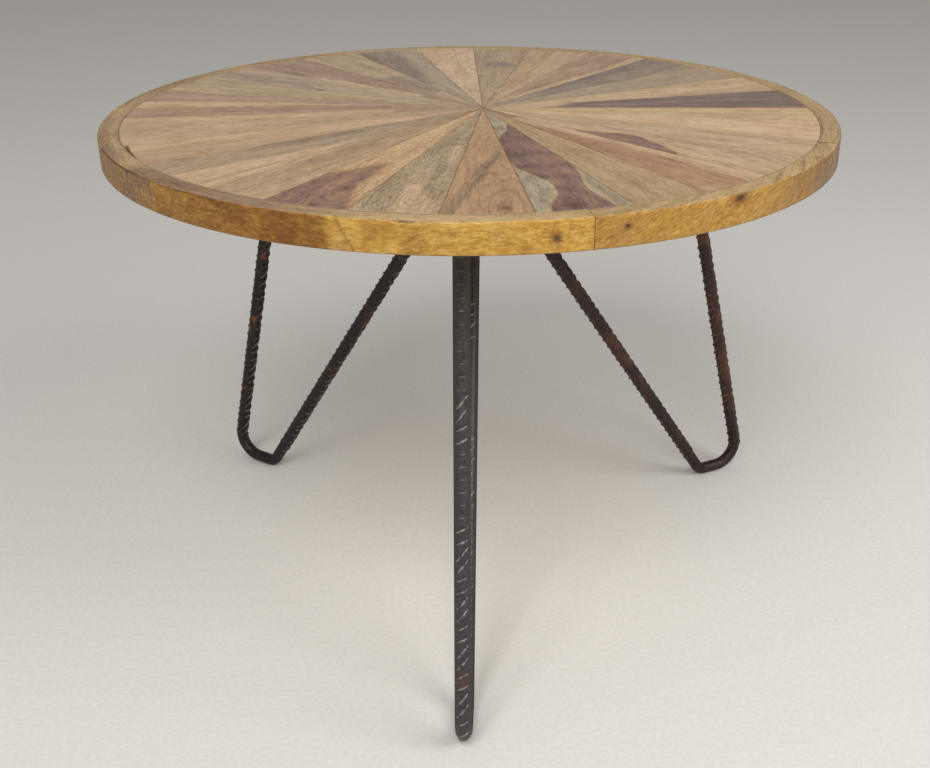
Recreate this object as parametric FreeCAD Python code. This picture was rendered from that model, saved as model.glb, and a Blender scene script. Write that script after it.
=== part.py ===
import FreeCAD, Part
import math
import os

from FreeCAD import Vector

# Round coffee table: a starburst of wedge planks in a wooden rim, on three bent reinforcing-bar legs.
# The origin is on the floor under the middle of the rim, +Z up, with the front leg towards -Y.
# Lengths are in millimetres and angles in degrees.

# Overall sizes
TABLE_HEIGHT = 416.0
TOP_DIAMETER = 600.0

# Rim: curved segments of solid wood, butt jointed end to end round the top
RIM_HEIGHT = 22.5
RIM_WIDTH = 16.0
RIM_EDGE_ROUND = 1.5
RIM_FIRST_JOINT_ANGLE = -22.7
RIM_SEGMENT_SHARES = (40, 40, 40, 40, 40, 37, 40, 30.2, 52.8)

# Starburst: wedge planks, whose tips meet beside the middle of the rim
PLANK_THICKNESS = 12.0
BURST_OFFSET_X = 8.0
BURST_OFFSET_Y = 8.5
PLANK_FIRST_SEAM_ANGLE = 1.0
PLANK_ANGLE_SHARES = (13, 13, 13, 12.5, 13.5, 13, 12.5, 12.5, 13, 12, 12.5, 12.5, 12, 13.5, 11.5,
                      13, 12, 13, 12, 11.5, 11.5, 12, 13, 11.5, 12, 12.5, 11, 13, 12)

# Backing board: a round panel that the planks are glued to
BOARD_THICKNESS = 9.0

# Glue lines: between neighbours in the top, and between the rim and what it goes round
SEAM_GAP = 0.3
RIM_GAP = 0.4

# Legs: one length of reinforcing bar each, bent to a hairpin that stands in an upright radial plane
BAR_DIAMETER = 12.0
FRONT_LEG_ANGLE = -92.5
RIGHT_LEG_ANGLE = 24.7
LEFT_LEG_ANGLE = 147.2
FOOT_REACH = 9.6
FOOT_LENGTH = 50.0
OUTER_BEND_RADIUS = 22.0
INNER_BEND_RADIUS = 12.0
WELD_GAP = 0.3

# Steel plates that carry the legs: a strip over each outer bar and a round hub over the inner bars
PLATE_THICKNESS = 4.0
LEG_PLATE_SETBACK = 33.5
LEG_PLATE_LENGTH = 76.0
LEG_PLATE_WIDTH = 34.0
LEG_PLATE_CORNER_RADIUS = 6.0
LEG_PLATE_SCREW_SPACING = 52.0
HUB_PLATE_DIAMETER = 96.0
HUB_SCREW_CIRCLE_DIAMETER = 72.0

# Wood screws with round heads, from below
SCREW_SHANK_DIAMETER = 4.0
SCREW_POINT_LENGTH = 3.0
SCREW_HEAD_DIAMETER = 8.4
SCREW_HEAD_HEIGHT = 3.0
SCREW_TIP_COVER = 1.5
SCREW_CLEARANCE = 0.3

# How far a cutting body runs past what it cuts
OVERRUN = 20.0

# A full turn, in the degrees that the angles are in
FULL_TURN_ANGLE = 360.0

# Levels, radii and tables that follow from the sizes above
UP = Vector(0, 0, 1)
TOP_RADIUS = TOP_DIAMETER / 2
RIM_INNER_RADIUS = TOP_RADIUS - RIM_WIDTH
DISC_RADIUS = RIM_INNER_RADIUS - RIM_GAP
PLANK_BOTTOM = TABLE_HEIGHT - PLANK_THICKNESS
BOARD_BOTTOM = PLANK_BOTTOM - BOARD_THICKNESS
PLATE_BOTTOM = BOARD_BOTTOM - PLATE_THICKNESS
BAR_RADIUS = BAR_DIAMETER / 2
LEG_TOP_RADIUS = RIM_INNER_RADIUS - LEG_PLATE_SETBACK - LEG_PLATE_LENGTH / 2
LEG_FOOT_RADIUS = TOP_RADIUS + FOOT_REACH
LEG_ANGLES = {"front": FRONT_LEG_ANGLE, "right": RIGHT_LEG_ANGLE, "left": LEFT_LEG_ANGLE}
SCREW_LENGTH = PLATE_THICKNESS + BOARD_THICKNESS - SCREW_TIP_COVER


def turned(radius, angle, height=0):
    """The point at a radius and an azimuth about the table's axis."""
    across = math.radians(angle)
    return Vector(radius * math.cos(across), radius * math.sin(across), height)


def sector_bounds(first_angle, shares):
    """Pairs of start and end azimuths that share out a full turn."""
    bounds = []
    start = first_angle
    for share in shares:
        end = start + FULL_TURN_ANGLE * share / sum(shares)
        bounds.append((start, end))
        start = end
    return bounds


def solid_of(points, lift):
    """A prism over a polygon."""
    return Part.Face(Part.makePolygon(points + points[:1])).extrude(lift)


# Rim
def rim_section():
    """The rim's upright section at azimuth zero, with its two outer corners rounded."""
    low = TABLE_HEIGHT - RIM_HEIGHT
    corner = RIM_EDGE_ROUND
    bulge = corner * (1 - math.sqrt(0.5))
    inner_low = Vector(RIM_INNER_RADIUS, 0, low)
    inner_high = Vector(RIM_INNER_RADIUS, 0, TABLE_HEIGHT)
    top_in = Vector(TOP_RADIUS - corner, 0, TABLE_HEIGHT)
    top_mid = Vector(TOP_RADIUS - bulge, 0, TABLE_HEIGHT - bulge)
    top_out = Vector(TOP_RADIUS, 0, TABLE_HEIGHT - corner)
    low_out = Vector(TOP_RADIUS, 0, low + corner)
    low_mid = Vector(TOP_RADIUS - bulge, 0, low + bulge)
    low_in = Vector(TOP_RADIUS - corner, 0, low)
    edges = [
        Part.makeLine(inner_low, inner_high),
        Part.makeLine(inner_high, top_in),
        Part.Arc(top_in, top_mid, top_out).toShape(),
        Part.makeLine(top_out, low_out),
        Part.Arc(low_out, low_mid, low_in).toShape(),
        Part.makeLine(low_in, inner_low),
    ]
    return Part.Face(Part.Wire(edges))


def rim_segments():
    """Curved lengths of rim, a glue line apart at each butt joint."""
    segments = []
    joint_angle = math.degrees(SEAM_GAP / TOP_RADIUS)
    for start, end in sector_bounds(RIM_FIRST_JOINT_ANGLE, RIM_SEGMENT_SHARES):
        section = rim_section()
        section.rotate(Vector(), UP, start + joint_angle / 2)
        segments.append(section.revolve(Vector(), UP, end - start - joint_angle))
    return segments


# Starburst
def planks():
    """Wedges of the plank disc, each drawn in from its seams by half a glue line."""
    disc = Part.makeCylinder(DISC_RADIUS, PLANK_THICKNESS, Vector(0, 0, PLANK_BOTTOM))
    burst = Vector(BURST_OFFSET_X, BURST_OFFSET_Y, PLANK_BOTTOM - OVERRUN)
    reach = TOP_DIAMETER + math.hypot(BURST_OFFSET_X, BURST_OFFSET_Y)
    lift = Vector(0, 0, PLANK_THICKNESS + 2 * OVERRUN)
    wedges = []
    for start, end in sector_bounds(PLANK_FIRST_SEAM_ANGLE, PLANK_ANGLE_SHARES):
        half = (end - start) / 2
        setback = SEAM_GAP / 2 / math.sin(math.radians(half))
        tip = burst + turned(setback, start + half)
        corners = [tip, tip + turned(reach, start), tip + turned(reach, end)]
        wedges.append(disc.common(solid_of(corners, lift)))
    return wedges


# Legs
def bend(corner, before, after, radius):
    """The arc that rounds a corner of the bar, with the points where it starts and ends."""
    to_before = (before - corner).normalize()
    to_after = (after - corner).normalize()
    half_angle = to_before.getAngle(to_after) / 2
    run = radius / math.tan(half_angle)
    start = corner + to_before * run
    end = corner + to_after * run
    inward = (to_before + to_after).normalize()
    middle = corner + inward * (radius / math.sin(half_angle) - radius)
    return start, end, Part.Arc(start, middle, end).toShape()


def hairpin():
    """One bent bar at azimuth zero, its two ends still running past the plates."""
    outer_foot = Vector(LEG_FOOT_RADIUS, 0, BAR_RADIUS)
    inner_foot = Vector(LEG_FOOT_RADIUS - FOOT_LENGTH, 0, BAR_RADIUS)
    outer_seat = Vector(LEG_TOP_RADIUS, 0, PLATE_BOTTOM)
    inner_seat = Vector(0, 0, PLATE_BOTTOM)
    outer_end = outer_seat + (outer_seat - outer_foot).normalize() * OVERRUN
    inner_end = inner_seat + (inner_seat - inner_foot).normalize() * OVERRUN
    outer_start, outer_stop, outer_arc = bend(outer_foot, outer_end, inner_foot, OUTER_BEND_RADIUS)
    inner_start, inner_stop, inner_arc = bend(inner_foot, outer_foot, inner_end, INNER_BEND_RADIUS)
    path = Part.Wire([
        Part.makeLine(outer_end, outer_start),
        outer_arc,
        Part.makeLine(outer_stop, inner_start),
        inner_arc,
        Part.makeLine(inner_stop, inner_end),
    ])
    ring = Part.Wire(Part.makeCircle(BAR_RADIUS, outer_end, outer_foot - outer_end))
    return path.makePipeShell([ring], True, False)


def mitre_block(direction, side):
    """What lies past the upright plane through the axis along a direction, on one side of it."""
    reach = TOP_DIAMETER
    across = direction + FULL_TURN_ANGLE / 4 * side
    near = turned(-WELD_GAP / 2, across, -OVERRUN)
    corners = [
        near + turned(-reach, direction),
        near + turned(reach, direction),
        near + turned(reach, direction) + turned(reach, across),
        near + turned(-reach, direction) + turned(reach, across),
    ]
    return solid_of(corners, Vector(0, 0, TABLE_HEIGHT + 2 * OVERRUN))


def legs():
    """Hairpins cut level under the plates, their inner ends mitred where the three meet."""
    above = Part.makeBox(2 * TOP_DIAMETER, 2 * TOP_DIAMETER, TABLE_HEIGHT,
                         Vector(-TOP_DIAMETER, -TOP_DIAMETER, PLATE_BOTTOM))
    names = list(LEG_ANGLES)
    bars = {}
    for place, name in enumerate(names):
        azimuth = LEG_ANGLES[name]
        ahead = (LEG_ANGLES[names[(place + 1) % len(names)]] - azimuth) % FULL_TURN_ANGLE
        behind = (azimuth - LEG_ANGLES[names[place - 1]]) % FULL_TURN_ANGLE
        bar = hairpin()
        bar.rotate(Vector(), UP, azimuth)
        bar = bar.cut(above)
        bar = bar.cut(mitre_block(azimuth + ahead / 2, 1))
        bars[name] = bar.cut(mitre_block(azimuth - behind / 2, -1)).Solids[0]
    return bars


# Screws and the holes for them
def leg_screw_places(azimuth):
    """The two screw axes of a leg plate, either side of the outer bar."""
    inner_radius = LEG_TOP_RADIUS - LEG_PLATE_SCREW_SPACING / 2
    outer_radius = LEG_TOP_RADIUS + LEG_PLATE_SCREW_SPACING / 2
    return [turned(inner_radius, azimuth), turned(outer_radius, azimuth)]


def hub_screw_places():
    """The hub's screw axes, each half way between two inner bars."""
    azimuths = sorted(LEG_ANGLES.values())
    places = []
    for place, azimuth in enumerate(azimuths):
        ahead = (azimuths[(place + 1) % len(azimuths)] - azimuth) % FULL_TURN_ANGLE
        places.append(turned(HUB_SCREW_CIRCLE_DIAMETER / 2, azimuth + ahead / 2))
    return places


def screw(place):
    """A round-headed wood screw, pointing up, with its head against the plate."""
    seat = place + Vector(0, 0, PLATE_BOTTOM)
    shank_radius = SCREW_SHANK_DIAMETER / 2
    shank_length = SCREW_LENGTH - SCREW_POINT_LENGTH
    head_radius = SCREW_HEAD_DIAMETER / 2
    dome_radius = (head_radius ** 2 + SCREW_HEAD_HEIGHT ** 2) / (2 * SCREW_HEAD_HEIGHT)
    ball = Part.makeSphere(dome_radius, seat + UP * (dome_radius - SCREW_HEAD_HEIGHT))
    below = Part.makeCylinder(SCREW_HEAD_DIAMETER, SCREW_HEAD_HEIGHT + OVERRUN, seat, -UP)
    shank = Part.makeCylinder(shank_radius, shank_length, seat)
    point = Part.makeCone(shank_radius, 0, SCREW_POINT_LENGTH, seat + UP * shank_length)
    return ball.common(below).fuse([shank, point]).removeSplitter().Solids[0]


def screw_hole(place, low, high):
    """The hole that a screw passes through, from a little below one level up to another."""
    radius = SCREW_SHANK_DIAMETER / 2 + SCREW_CLEARANCE
    start = low - OVERRUN
    return Part.makeCylinder(radius, high - start, place + Vector(0, 0, start))


# Steel plates
def leg_plate(azimuth):
    """A strip along the leg's radius, its upright corners rounded, drilled for its screws."""
    corner = Vector(LEG_TOP_RADIUS - LEG_PLATE_LENGTH / 2, -LEG_PLATE_WIDTH / 2, PLATE_BOTTOM)
    strip = Part.makeBox(LEG_PLATE_LENGTH, LEG_PLATE_WIDTH, PLATE_THICKNESS, corner)
    upright = [edge for edge in strip.Edges if edge.tangentAt(edge.FirstParameter).cross(UP).Length < 0.5]
    strip = strip.makeFillet(LEG_PLATE_CORNER_RADIUS, upright)
    strip.rotate(Vector(), UP, azimuth)
    holes = [screw_hole(place, PLATE_BOTTOM, BOARD_BOTTOM + OVERRUN) for place in leg_screw_places(azimuth)]
    return strip.cut(holes)


def hub_plate():
    """A round plate under the middle of the board, drilled for its screws."""
    disc = Part.makeCylinder(HUB_PLATE_DIAMETER / 2, PLATE_THICKNESS, Vector(0, 0, PLATE_BOTTOM))
    return disc.cut([screw_hole(place, PLATE_BOTTOM, BOARD_BOTTOM + OVERRUN) for place in hub_screw_places()])


# Backing board
def backing_board(places):
    """The round panel, with a blind hole for every screw."""
    board = Part.makeCylinder(DISC_RADIUS, BOARD_THICKNESS, Vector(0, 0, BOARD_BOTTOM))
    hole_end = PLATE_BOTTOM + SCREW_LENGTH + SCREW_CLEARANCE
    return board.cut([screw_hole(place, BOARD_BOTTOM, hole_end) for place in places])


# The whole table, one file for each piece and one for each group of like screws
pieces = {}
for number, segment in enumerate(rim_segments(), 1):
    pieces["rim_segment_%d" % number] = segment
for number, plank in enumerate(planks(), 1):
    pieces["plank_%02d" % number] = plank

leg_places = []
for name, bar in legs().items():
    azimuth = LEG_ANGLES[name]
    pieces[name + "_leg"] = bar
    pieces[name + "_leg_plate"] = leg_plate(azimuth)
    leg_places += leg_screw_places(azimuth)
hub_places = hub_screw_places()
pieces["hub_plate"] = hub_plate()
pieces["backing_board"] = backing_board(leg_places + hub_places)
pieces["leg_plate_screws"] = Part.makeCompound([screw(place) for place in leg_places])
pieces["hub_plate_screws"] = Part.makeCompound([screw(place) for place in hub_places])

os.makedirs("parts", exist_ok=True)
for name, shape in pieces.items():
    print(name, "valid" if shape.isValid() else "NOT VALID", len(shape.Solids), round(shape.Volume, 1))
    shape.exportStep("parts/%s.step" % name)
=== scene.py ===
import math

import bmesh
import bpy
from mathutils import Matrix, Vector, noise


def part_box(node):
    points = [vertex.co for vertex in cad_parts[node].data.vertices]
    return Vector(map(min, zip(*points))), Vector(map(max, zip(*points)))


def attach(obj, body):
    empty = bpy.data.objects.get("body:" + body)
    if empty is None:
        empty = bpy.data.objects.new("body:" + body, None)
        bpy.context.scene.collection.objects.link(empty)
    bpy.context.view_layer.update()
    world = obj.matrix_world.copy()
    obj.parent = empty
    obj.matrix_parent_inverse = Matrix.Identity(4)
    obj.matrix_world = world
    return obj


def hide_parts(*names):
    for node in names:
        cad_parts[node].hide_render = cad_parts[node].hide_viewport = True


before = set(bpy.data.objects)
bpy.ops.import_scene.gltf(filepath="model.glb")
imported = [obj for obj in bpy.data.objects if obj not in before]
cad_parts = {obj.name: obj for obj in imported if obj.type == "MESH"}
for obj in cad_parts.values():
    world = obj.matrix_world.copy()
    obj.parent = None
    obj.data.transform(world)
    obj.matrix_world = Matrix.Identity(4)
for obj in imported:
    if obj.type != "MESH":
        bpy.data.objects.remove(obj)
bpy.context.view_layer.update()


# Camera: stands about a metre in front of the table and a little above its top. Its place, turn and focal
# length were fitted to the two ellipses of the rim and to the lines of the three legs.
IMAGE_WIDTH_PX = 930
IMAGE_HEIGHT_PX = 768
FOCAL_LENGTH_PX = 1211.6
PRINCIPAL_X_PX = 524.1
PRINCIPAL_Y_PX = 368.1
SENSOR_WIDTH_MM = 36.0
CAMERA_PLACE = Vector((0.0, -1.0115, 0.6478))
CAMERA_PITCH = math.radians(24.916)
CAMERA_YAW = math.radians(2.477)
CAMERA_ROLL = math.radians(0.351)

camera = bpy.data.objects.new("camera", bpy.data.cameras.new("camera"))
camera.data.sensor_width = SENSOR_WIDTH_MM
camera.data.lens = FOCAL_LENGTH_PX * SENSOR_WIDTH_MM / IMAGE_WIDTH_PX
camera.data.shift_x = (IMAGE_WIDTH_PX / 2 - PRINCIPAL_X_PX) / IMAGE_WIDTH_PX
camera.data.shift_y = (PRINCIPAL_Y_PX - IMAGE_HEIGHT_PX / 2) / IMAGE_WIDTH_PX
look = Vector((math.sin(CAMERA_YAW) * math.cos(CAMERA_PITCH),
               math.cos(CAMERA_YAW) * math.cos(CAMERA_PITCH),
               -math.sin(CAMERA_PITCH)))
level = Vector((math.cos(CAMERA_YAW), -math.sin(CAMERA_YAW), 0.0))
upright = level.cross(look)
camera_right = level * math.cos(CAMERA_ROLL) + upright * math.sin(CAMERA_ROLL)
camera_up = upright * math.cos(CAMERA_ROLL) - level * math.sin(CAMERA_ROLL)
camera.matrix_world = (Matrix.Translation(CAMERA_PLACE)
                       @ Matrix((camera_right, camera_up, -look)).transposed().to_4x4())
bpy.context.scene.collection.objects.link(camera)
bpy.context.scene.camera = camera


# Backing board: a round of birch plywood that every plank is glued down to, cut to drop inside the rim.
# Its face veneer is peeled from the log, which gives wide pale flames, and only its underside shows.
MILLIMETRE = 0.001
BOARD_FIBRE_SHARE = 0.35
BOARD_FIBRE_DEPTH = 0.2 * MILLIMETRE

# The veneer's flames, then its fibres: millimetres along and across, how detailed and how far bent.
BOARD_FIGURE = ((250.0, 15.4, 4.0, 1.4), (20.0, 0.71, 2.0, 0.0))


def linear(code):
    """An sRGB hex colour as linear red, green, blue and alpha."""
    channels = [int(code[start:start + 2], 16) / 255 for start in (1, 3, 5)]
    return tuple(c / 12.92 if c <= 0.04045 else ((c + 0.055) / 1.055) ** 2.4 for c in channels) + (1.0,)


def set_inputs(tree, node, values):
    """Sets a node's inputs by place or name, and links those that are given a socket or a list of them."""
    for key, value in values.items() if isinstance(values, dict) else enumerate(values):
        if isinstance(value, bpy.types.NodeSocket):
            tree.links.new(value, node.inputs[key])
        elif isinstance(value, list):
            for socket in value:
                tree.links.new(socket, node.inputs[key])
        else:
            node.inputs[key].default_value = value


def add_node(tree, kind, values=(), output=0, stops=(), **settings):
    """Adds a node with its settings, inputs and colour stops, and gives back one of its outputs, or all."""
    node = tree.nodes.new(kind)
    for name, value in settings.items():
        setattr(node, name, value)
    set_inputs(tree, node, values)
    for place, (position, code) in enumerate(stops):
        ramp = node.color_ramp.elements
        stop = ramp[place] if place < len(ramp) else ramp.new(position)
        stop.position = position
        stop.color = linear(code)
    return node.outputs if output is None else node.outputs[output]


def new_material(name):
    """A material made of nodes, and its tree."""
    material = bpy.data.materials.new(name)
    material.use_nodes = True
    return material, material.node_tree


def repeats(along_mm, across_mm, depth):
    """How often a pattern repeats in a metre along and across, and how fast it changes with depth."""
    return (1 / (along_mm * MILLIMETRE), 1 / (across_mm * MILLIMETRE), depth)


def dress(name, material):
    """Gives a CAD piece a new material."""
    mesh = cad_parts[name].data
    mesh.materials.clear()
    mesh.materials.append(material)


# Birch plywood, sanded and left bare: pale and dry, with flames of low contrast.
plywood, tree = new_material("birch_plywood")
place = add_node(tree, "ShaderNodeTexCoord", output="Object")
figure = []
for along, across, detail, bent in BOARD_FIGURE:
    size = add_node(tree, "ShaderNodeVectorMath", (place, repeats(along, across, 1.0)), operation="MULTIPLY")
    figure.append(add_node(tree, "ShaderNodeTexNoise", {
        "Vector": size, "Scale": 1.0, "Detail": detail, "Distortion": bent}))
flames, fibres = figure
mixed = add_node(tree, "ShaderNodeMath", (fibres, BOARD_FIBRE_SHARE, flames), operation="MULTIPLY_ADD")
veneer = add_node(tree, "ShaderNodeValToRGB", (mixed,),
                  stops=((0.46, "#a98a5f"), (0.68, "#c2a577"), (0.9, "#d3ba90")))
relief = add_node(tree, "ShaderNodeBump", {"Strength": 0.3, "Distance": BOARD_FIBRE_DEPTH, "Height": fibres})
set_inputs(tree, tree.nodes["Principled BSDF"], {"Base Color": veneer, "Normal": relief, "Roughness": 0.62})
dress("backing_board", plywood)


# Planks: 29 wedges sawn from mixed offcuts of one hardwood, pale sapwood beside dark heartwood, glued down
# as a starburst with their grain along the rays, then sanded level and finished with a satin varnish.
PLANK_STEPS_ALONG = 110
PLANK_STEPS_ACROSS = 22
PLANK_TIP_BLUNT = 0.6 * MILLIMETRE
PLANK_EASE = 0.2 * MILLIMETRE
PLANK_EASE_MOST_OF_WIDTH = 0.3
PLANK_SEAM_FILL = 0.1 * MILLIMETRE
PLANK_END_FILL = 0.2 * MILLIMETRE

# Each tone is the finish slot that it belongs to, then its deep, main and light colours.
PLANK_TONES = {
    "umber": ("dark", "#6b584e", "#7d685e", "#917a70"),
    "plum": ("dark", "#917d67", "#ac977e", "#bea990"),
    "slate": ("grey", "#7d6c5c", "#988571", "#ab9882"),
    "stone": ("grey", "#917960", "#ad9375", "#c1a78b"),
    "lichen": ("grey", "#877258", "#aa9273", "#bda586"),
    "pebble": ("grey", "#97816a", "#b49b7f", "#c7af95"),
    "cocoa": ("red", "#8f725b", "#ab8d74", "#bfa288"),
    "clay": ("red", "#866a54", "#a2846f", "#b69882"),
    "rose": ("red", "#8d664a", "#ab8363", "#bf9978"),
    "sand": ("tan", "#9b8060", "#b89b79", "#cbb08e"),
    "dun": ("tan", "#907658", "#ad9170", "#c0a684"),
    "honey": ("tan", "#9c7f5b", "#b89876", "#ccae8b"),
    "biscuit": ("tan", "#a28666", "#bea17e", "#d0b594"),
    "moss": ("olive", "#8e7a62", "#a99379", "#bca78e"),
    "sage": ("olive", "#988163", "#b49b7b", "#c7af8f"),
    "straw": ("olive", "#9d835f", "#ba9e7a", "#cdb38f"),
    "ochre": ("olive", "#8f7450", "#ad906a", "#c0a57f"),
    "flax": ("olive", "#ab8f68", "#c6aa80", "#d6bc95"),
    "peach": ("heart", "#aa8660", "#c5a279", "#d6b590"),
    "driftwood": ("heart", "#8a7b63", "#a6967d", "#b9aa93"),
    "copper": ("orange", "#957456", "#ac8964", "#bc9b74"),
    "wheat": ("pale", "#997d5d", "#b49776", "#c7ac8c"),
    "oat": ("pale", "#ab8f6d", "#c7aa87", "#d8bd9c"),
    "cream": ("pale", "#b0916d", "#caab85", "#dabe9b"),
}
PLANK_ORDER = (
    "umber wheat moss slate cocoa sand stone oat plum sage "
    "clay pebble sage cocoa cocoa straw honey stone dun peach "
    "lichen copper driftwood ochre rose biscuit biscuit cream flax").split()
PLANK_STOPS = (0.37, 0.5, 0.63)

# Patches of another colour: the kind, then rows of (share along from the tip, from share, to share across).
PLANK_PATCHES = {
    1: [("pale", ((0.0, 0.0, 1.0), (0.17, 0.0, 1.0), (0.22, 0.3, 1.0), (0.28, 0.84, 1.0),
                  (0.34, 0.96, 1.0)))],
    2: [("pale", ((0.0, 0.0, 1.0), (0.3, 0.05, 1.0), (0.6, 0.2, 1.0), (0.75, 0.34, 1.0), (0.9, 0.46, 1.0),
                  (1.0, 0.5, 1.0)))],
    4: [("shade", ((0.3, 0.35, 1.0), (0.5, 0.5, 1.0), (0.75, 0.62, 1.0), (1.0, 0.6, 1.0)))],
    5: [("pale", ((0.1, 0.0, 0.7), (0.28, 0.0, 0.4), (0.42, 0.0, 0.24), (0.65, 0.0, 0.17),
                  (1.0, 0.0, 0.2)))],
    7: [("shade", ((0.66, 0.0, 0.7), (0.71, 0.1, 0.9), (0.74, 0.4, 0.9)))],
    9: [("shade", ((0.4, 0.85, 1.0), (0.5, 0.6, 1.0), (0.6, 0.48, 1.0), (0.8, 0.42, 1.0),
                   (1.0, 0.36, 1.0)))],
    10: [("shade", ((0.28, 0.1, 0.9), (0.4, 0.1, 0.9), (0.54, 0.2, 0.8)))],
    11: [("pale", ((0.25, 0.6, 1.0), (0.45, 0.74, 1.0), (0.65, 0.86, 1.0), (0.75, 0.95, 1.0)))],
    12: [("shade", ((0.62, 0.66, 0.8), (0.75, 0.55, 0.72), (0.9, 0.48, 0.64), (1.0, 0.42, 0.56)))],
    14: [("pale", ((0.4, 0.5, 0.56), (0.6, 0.42, 0.72), (0.8, 0.5, 0.94), (1.0, 0.6, 0.98)))],
    15: [("pale", ((0.25, 0.4, 1.0), (0.5, 0.58, 1.0), (1.0, 0.62, 1.0)))],
    17: [("pale", ((0.2, 0.1, 1.0), (0.4, 0.08, 0.8), (0.58, 0.04, 0.5), (0.75, 0.0, 0.34),
                   (1.0, 0.0, 0.3)))],
    18: [("shade", ((0.3, 0.0, 0.16), (0.5, 0.0, 0.26), (0.72, 0.0, 0.12))),
         ("pale", ((0.45, 0.88, 0.94), (0.65, 0.72, 1.0), (0.82, 0.58, 0.96), (1.0, 0.52, 0.96)))],
    19: [("pale", ((0.6, 0.0, 0.1), (0.8, 0.0, 0.14), (1.0, 0.0, 0.2)))],
    20: [("blush", ((0.64, 0.54, 0.66), (0.7, 0.3, 0.68), (0.76, 0.0, 0.7), (0.82, 0.0, 0.72),
                    (0.88, 0.0, 0.8), (0.94, 0.0, 0.92), (1.0, 0.0, 1.0)))],
    21: [("pale", ((0.43, 0.72, 0.84), (0.47, 0.68, 0.88), (0.53, 0.68, 0.88), (0.57, 0.73, 0.84))),
         ("pale", ((0.79, 0.44, 0.6), (0.84, 0.42, 0.74), (0.9, 0.46, 0.84), (0.95, 0.48, 0.86),
                   (1.0, 0.44, 0.84)))],
    22: [("streak", ((0.44, 0.94, 1.0), (0.535, 0.68, 0.82), (0.61, 0.52, 0.65), (0.69, 0.39, 0.51),
                     (0.76, 0.29, 0.4), (0.82, 0.22, 0.32), (0.86, 0.18, 0.27), (0.92, 0.13, 0.22),
                     (1.0, 0.08, 0.16))),
         ("streak", ((0.42, 0.9, 0.97), (0.504, 0.7, 0.77), (0.607, 0.43, 0.5), (0.732, 0.24, 0.29),
                     (0.836, 0.13, 0.17), (0.91, 0.07, 0.11), (1.0, 0.03, 0.07)))],
    23: [("heart", ((0.2, 0.92, 1.0), (0.25, 0.68, 1.0), (0.29, 0.36, 1.0), (0.33, 0.02, 1.0),
                    (0.36, 0.0, 1.0), (0.6, 0.0, 1.0), (0.65, 0.06, 1.0), (0.72, 0.25, 0.96),
                    (0.77, 0.36, 0.86), (0.82, 0.39, 0.78), (0.87, 0.37, 0.76), (0.91, 0.28, 0.79),
                    (0.95, 0.19, 0.82), (1.0, 0.15, 0.83)))],
    25: [("pale", ((0.15, 0.0, 1.0), (0.3, 0.3, 1.0), (0.42, 0.62, 1.0), (0.52, 0.8, 1.0), (0.63, 0.72, 1.0),
                   (0.74, 0.76, 1.0), (0.88, 0.72, 1.0), (1.0, 0.68, 1.0)))],
    26: [("heart", ((0.37, 0.0, 0.06), (0.4, 0.0, 0.18), (0.44, 0.0, 0.36), (0.48, 0.0, 0.58),
                    (0.52, 0.0, 0.68), (0.56, 0.0, 0.6), (0.6, 0.0, 0.46), (0.66, 0.0, 0.28),
                    (0.73, 0.0, 0.06)))],
    29: [("heart", ((0.24, 0.95, 1.0), (0.4, 0.9, 1.0), (0.7, 0.87, 1.0), (1.0, 0.85, 1.0)))],
}

# How many millimetres wide the edge of each kind of patch is. Then the layers of its colour: how far in each
# starts and is full, how strong it gets, and its deep, main and light colours.
PLANK_PATCH_SOFTNESS = {"pale": 9.0, "heart": 6.0, "blush": 10.0, "shade": 18.0, "streak": 4.0}
PLANK_PATCH_LAYERS = (
    ("pale", 0.35, 0.65, 0.9, ("#a88c69", "#c4a680", "#d6bb98")),
    ("heart", 0.05, 0.35, 0.6, ("#a2885f", "#bba077", "#cdb38a")),
    ("heart", 0.42, 0.58, 1.0, ("#67504a", "#87685b", "#a37d63")),
    ("blush", 0.1, 0.4, 0.6, ("#8f6440", "#ab8158", "#bf9870")),
    ("blush", 0.4, 0.66, 1.0, ("#6b4f47", "#8f6d5a", "#ab8562")),
    ("shade", 0.2, 0.8, 0.7, ("#62514c", "#7c6962", "#917d75")),
    ("streak", 0.3, 0.8, 0.8, ("#5e4d40", "#77634f", "#8c765f")))
PLANK_PATCH_RAGGED = 0.5

# Growth rings that run round points: their spacing across the grain and their reach, both in millimetres,
# how dark they are, how wide they are for their length, and each point's shares along and across.
PLANK_SWIRLS = {
    20: (5.0, 60.0, 0.5, 0.45, ((0.62, 0.62), (0.854, 0.64))),
    21: (3.1, 90.0, 0.9, 0.45, ((0.5, 0.78), (0.885, 0.64))),
    22: (6.5, 30.0, 1.1, 0.24, ((0.96, 0.71),)),
    23: (15.0, 130.0, 0.9, 0.45, ((0.967, 0.42),)),
}
PLANK_PLAIN_RINGS = (5.0, 1.0, 0.0, 1.0, ())
PLANK_FAINT_RINGS = 0.2

# Ends sawn short of the rim: how far across the gap runs, and how wide it is at its wide end.
PLANK_SHORT_ENDS = {17: (0.75, 3.4 * MILLIMETRE)}

# Knots: share along, share across, radius in millimetres. Then how wide a knot is for its length, and its
# ring and heart: the radii where each is full and where it ends, how strong it is, and its colour.
PLANK_KNOTS = {
    12: [(0.565, 0.92, 2.2)],
    20: [(0.854, 0.64, 3.4)],
    22: [(0.96, 0.71, 2.8)],
    23: [(0.967, 0.42, 4.6), (0.478, 0.05, 2.4)],
}
PLANK_KNOT_WIDTH = 0.7
PLANK_KNOT_RINGS = ((1.0, 2.2, 0.55, "#6a4334"), (0.7, 1.1, 0.6, "#43302c"))
KNOT_FAR = 9.0

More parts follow.
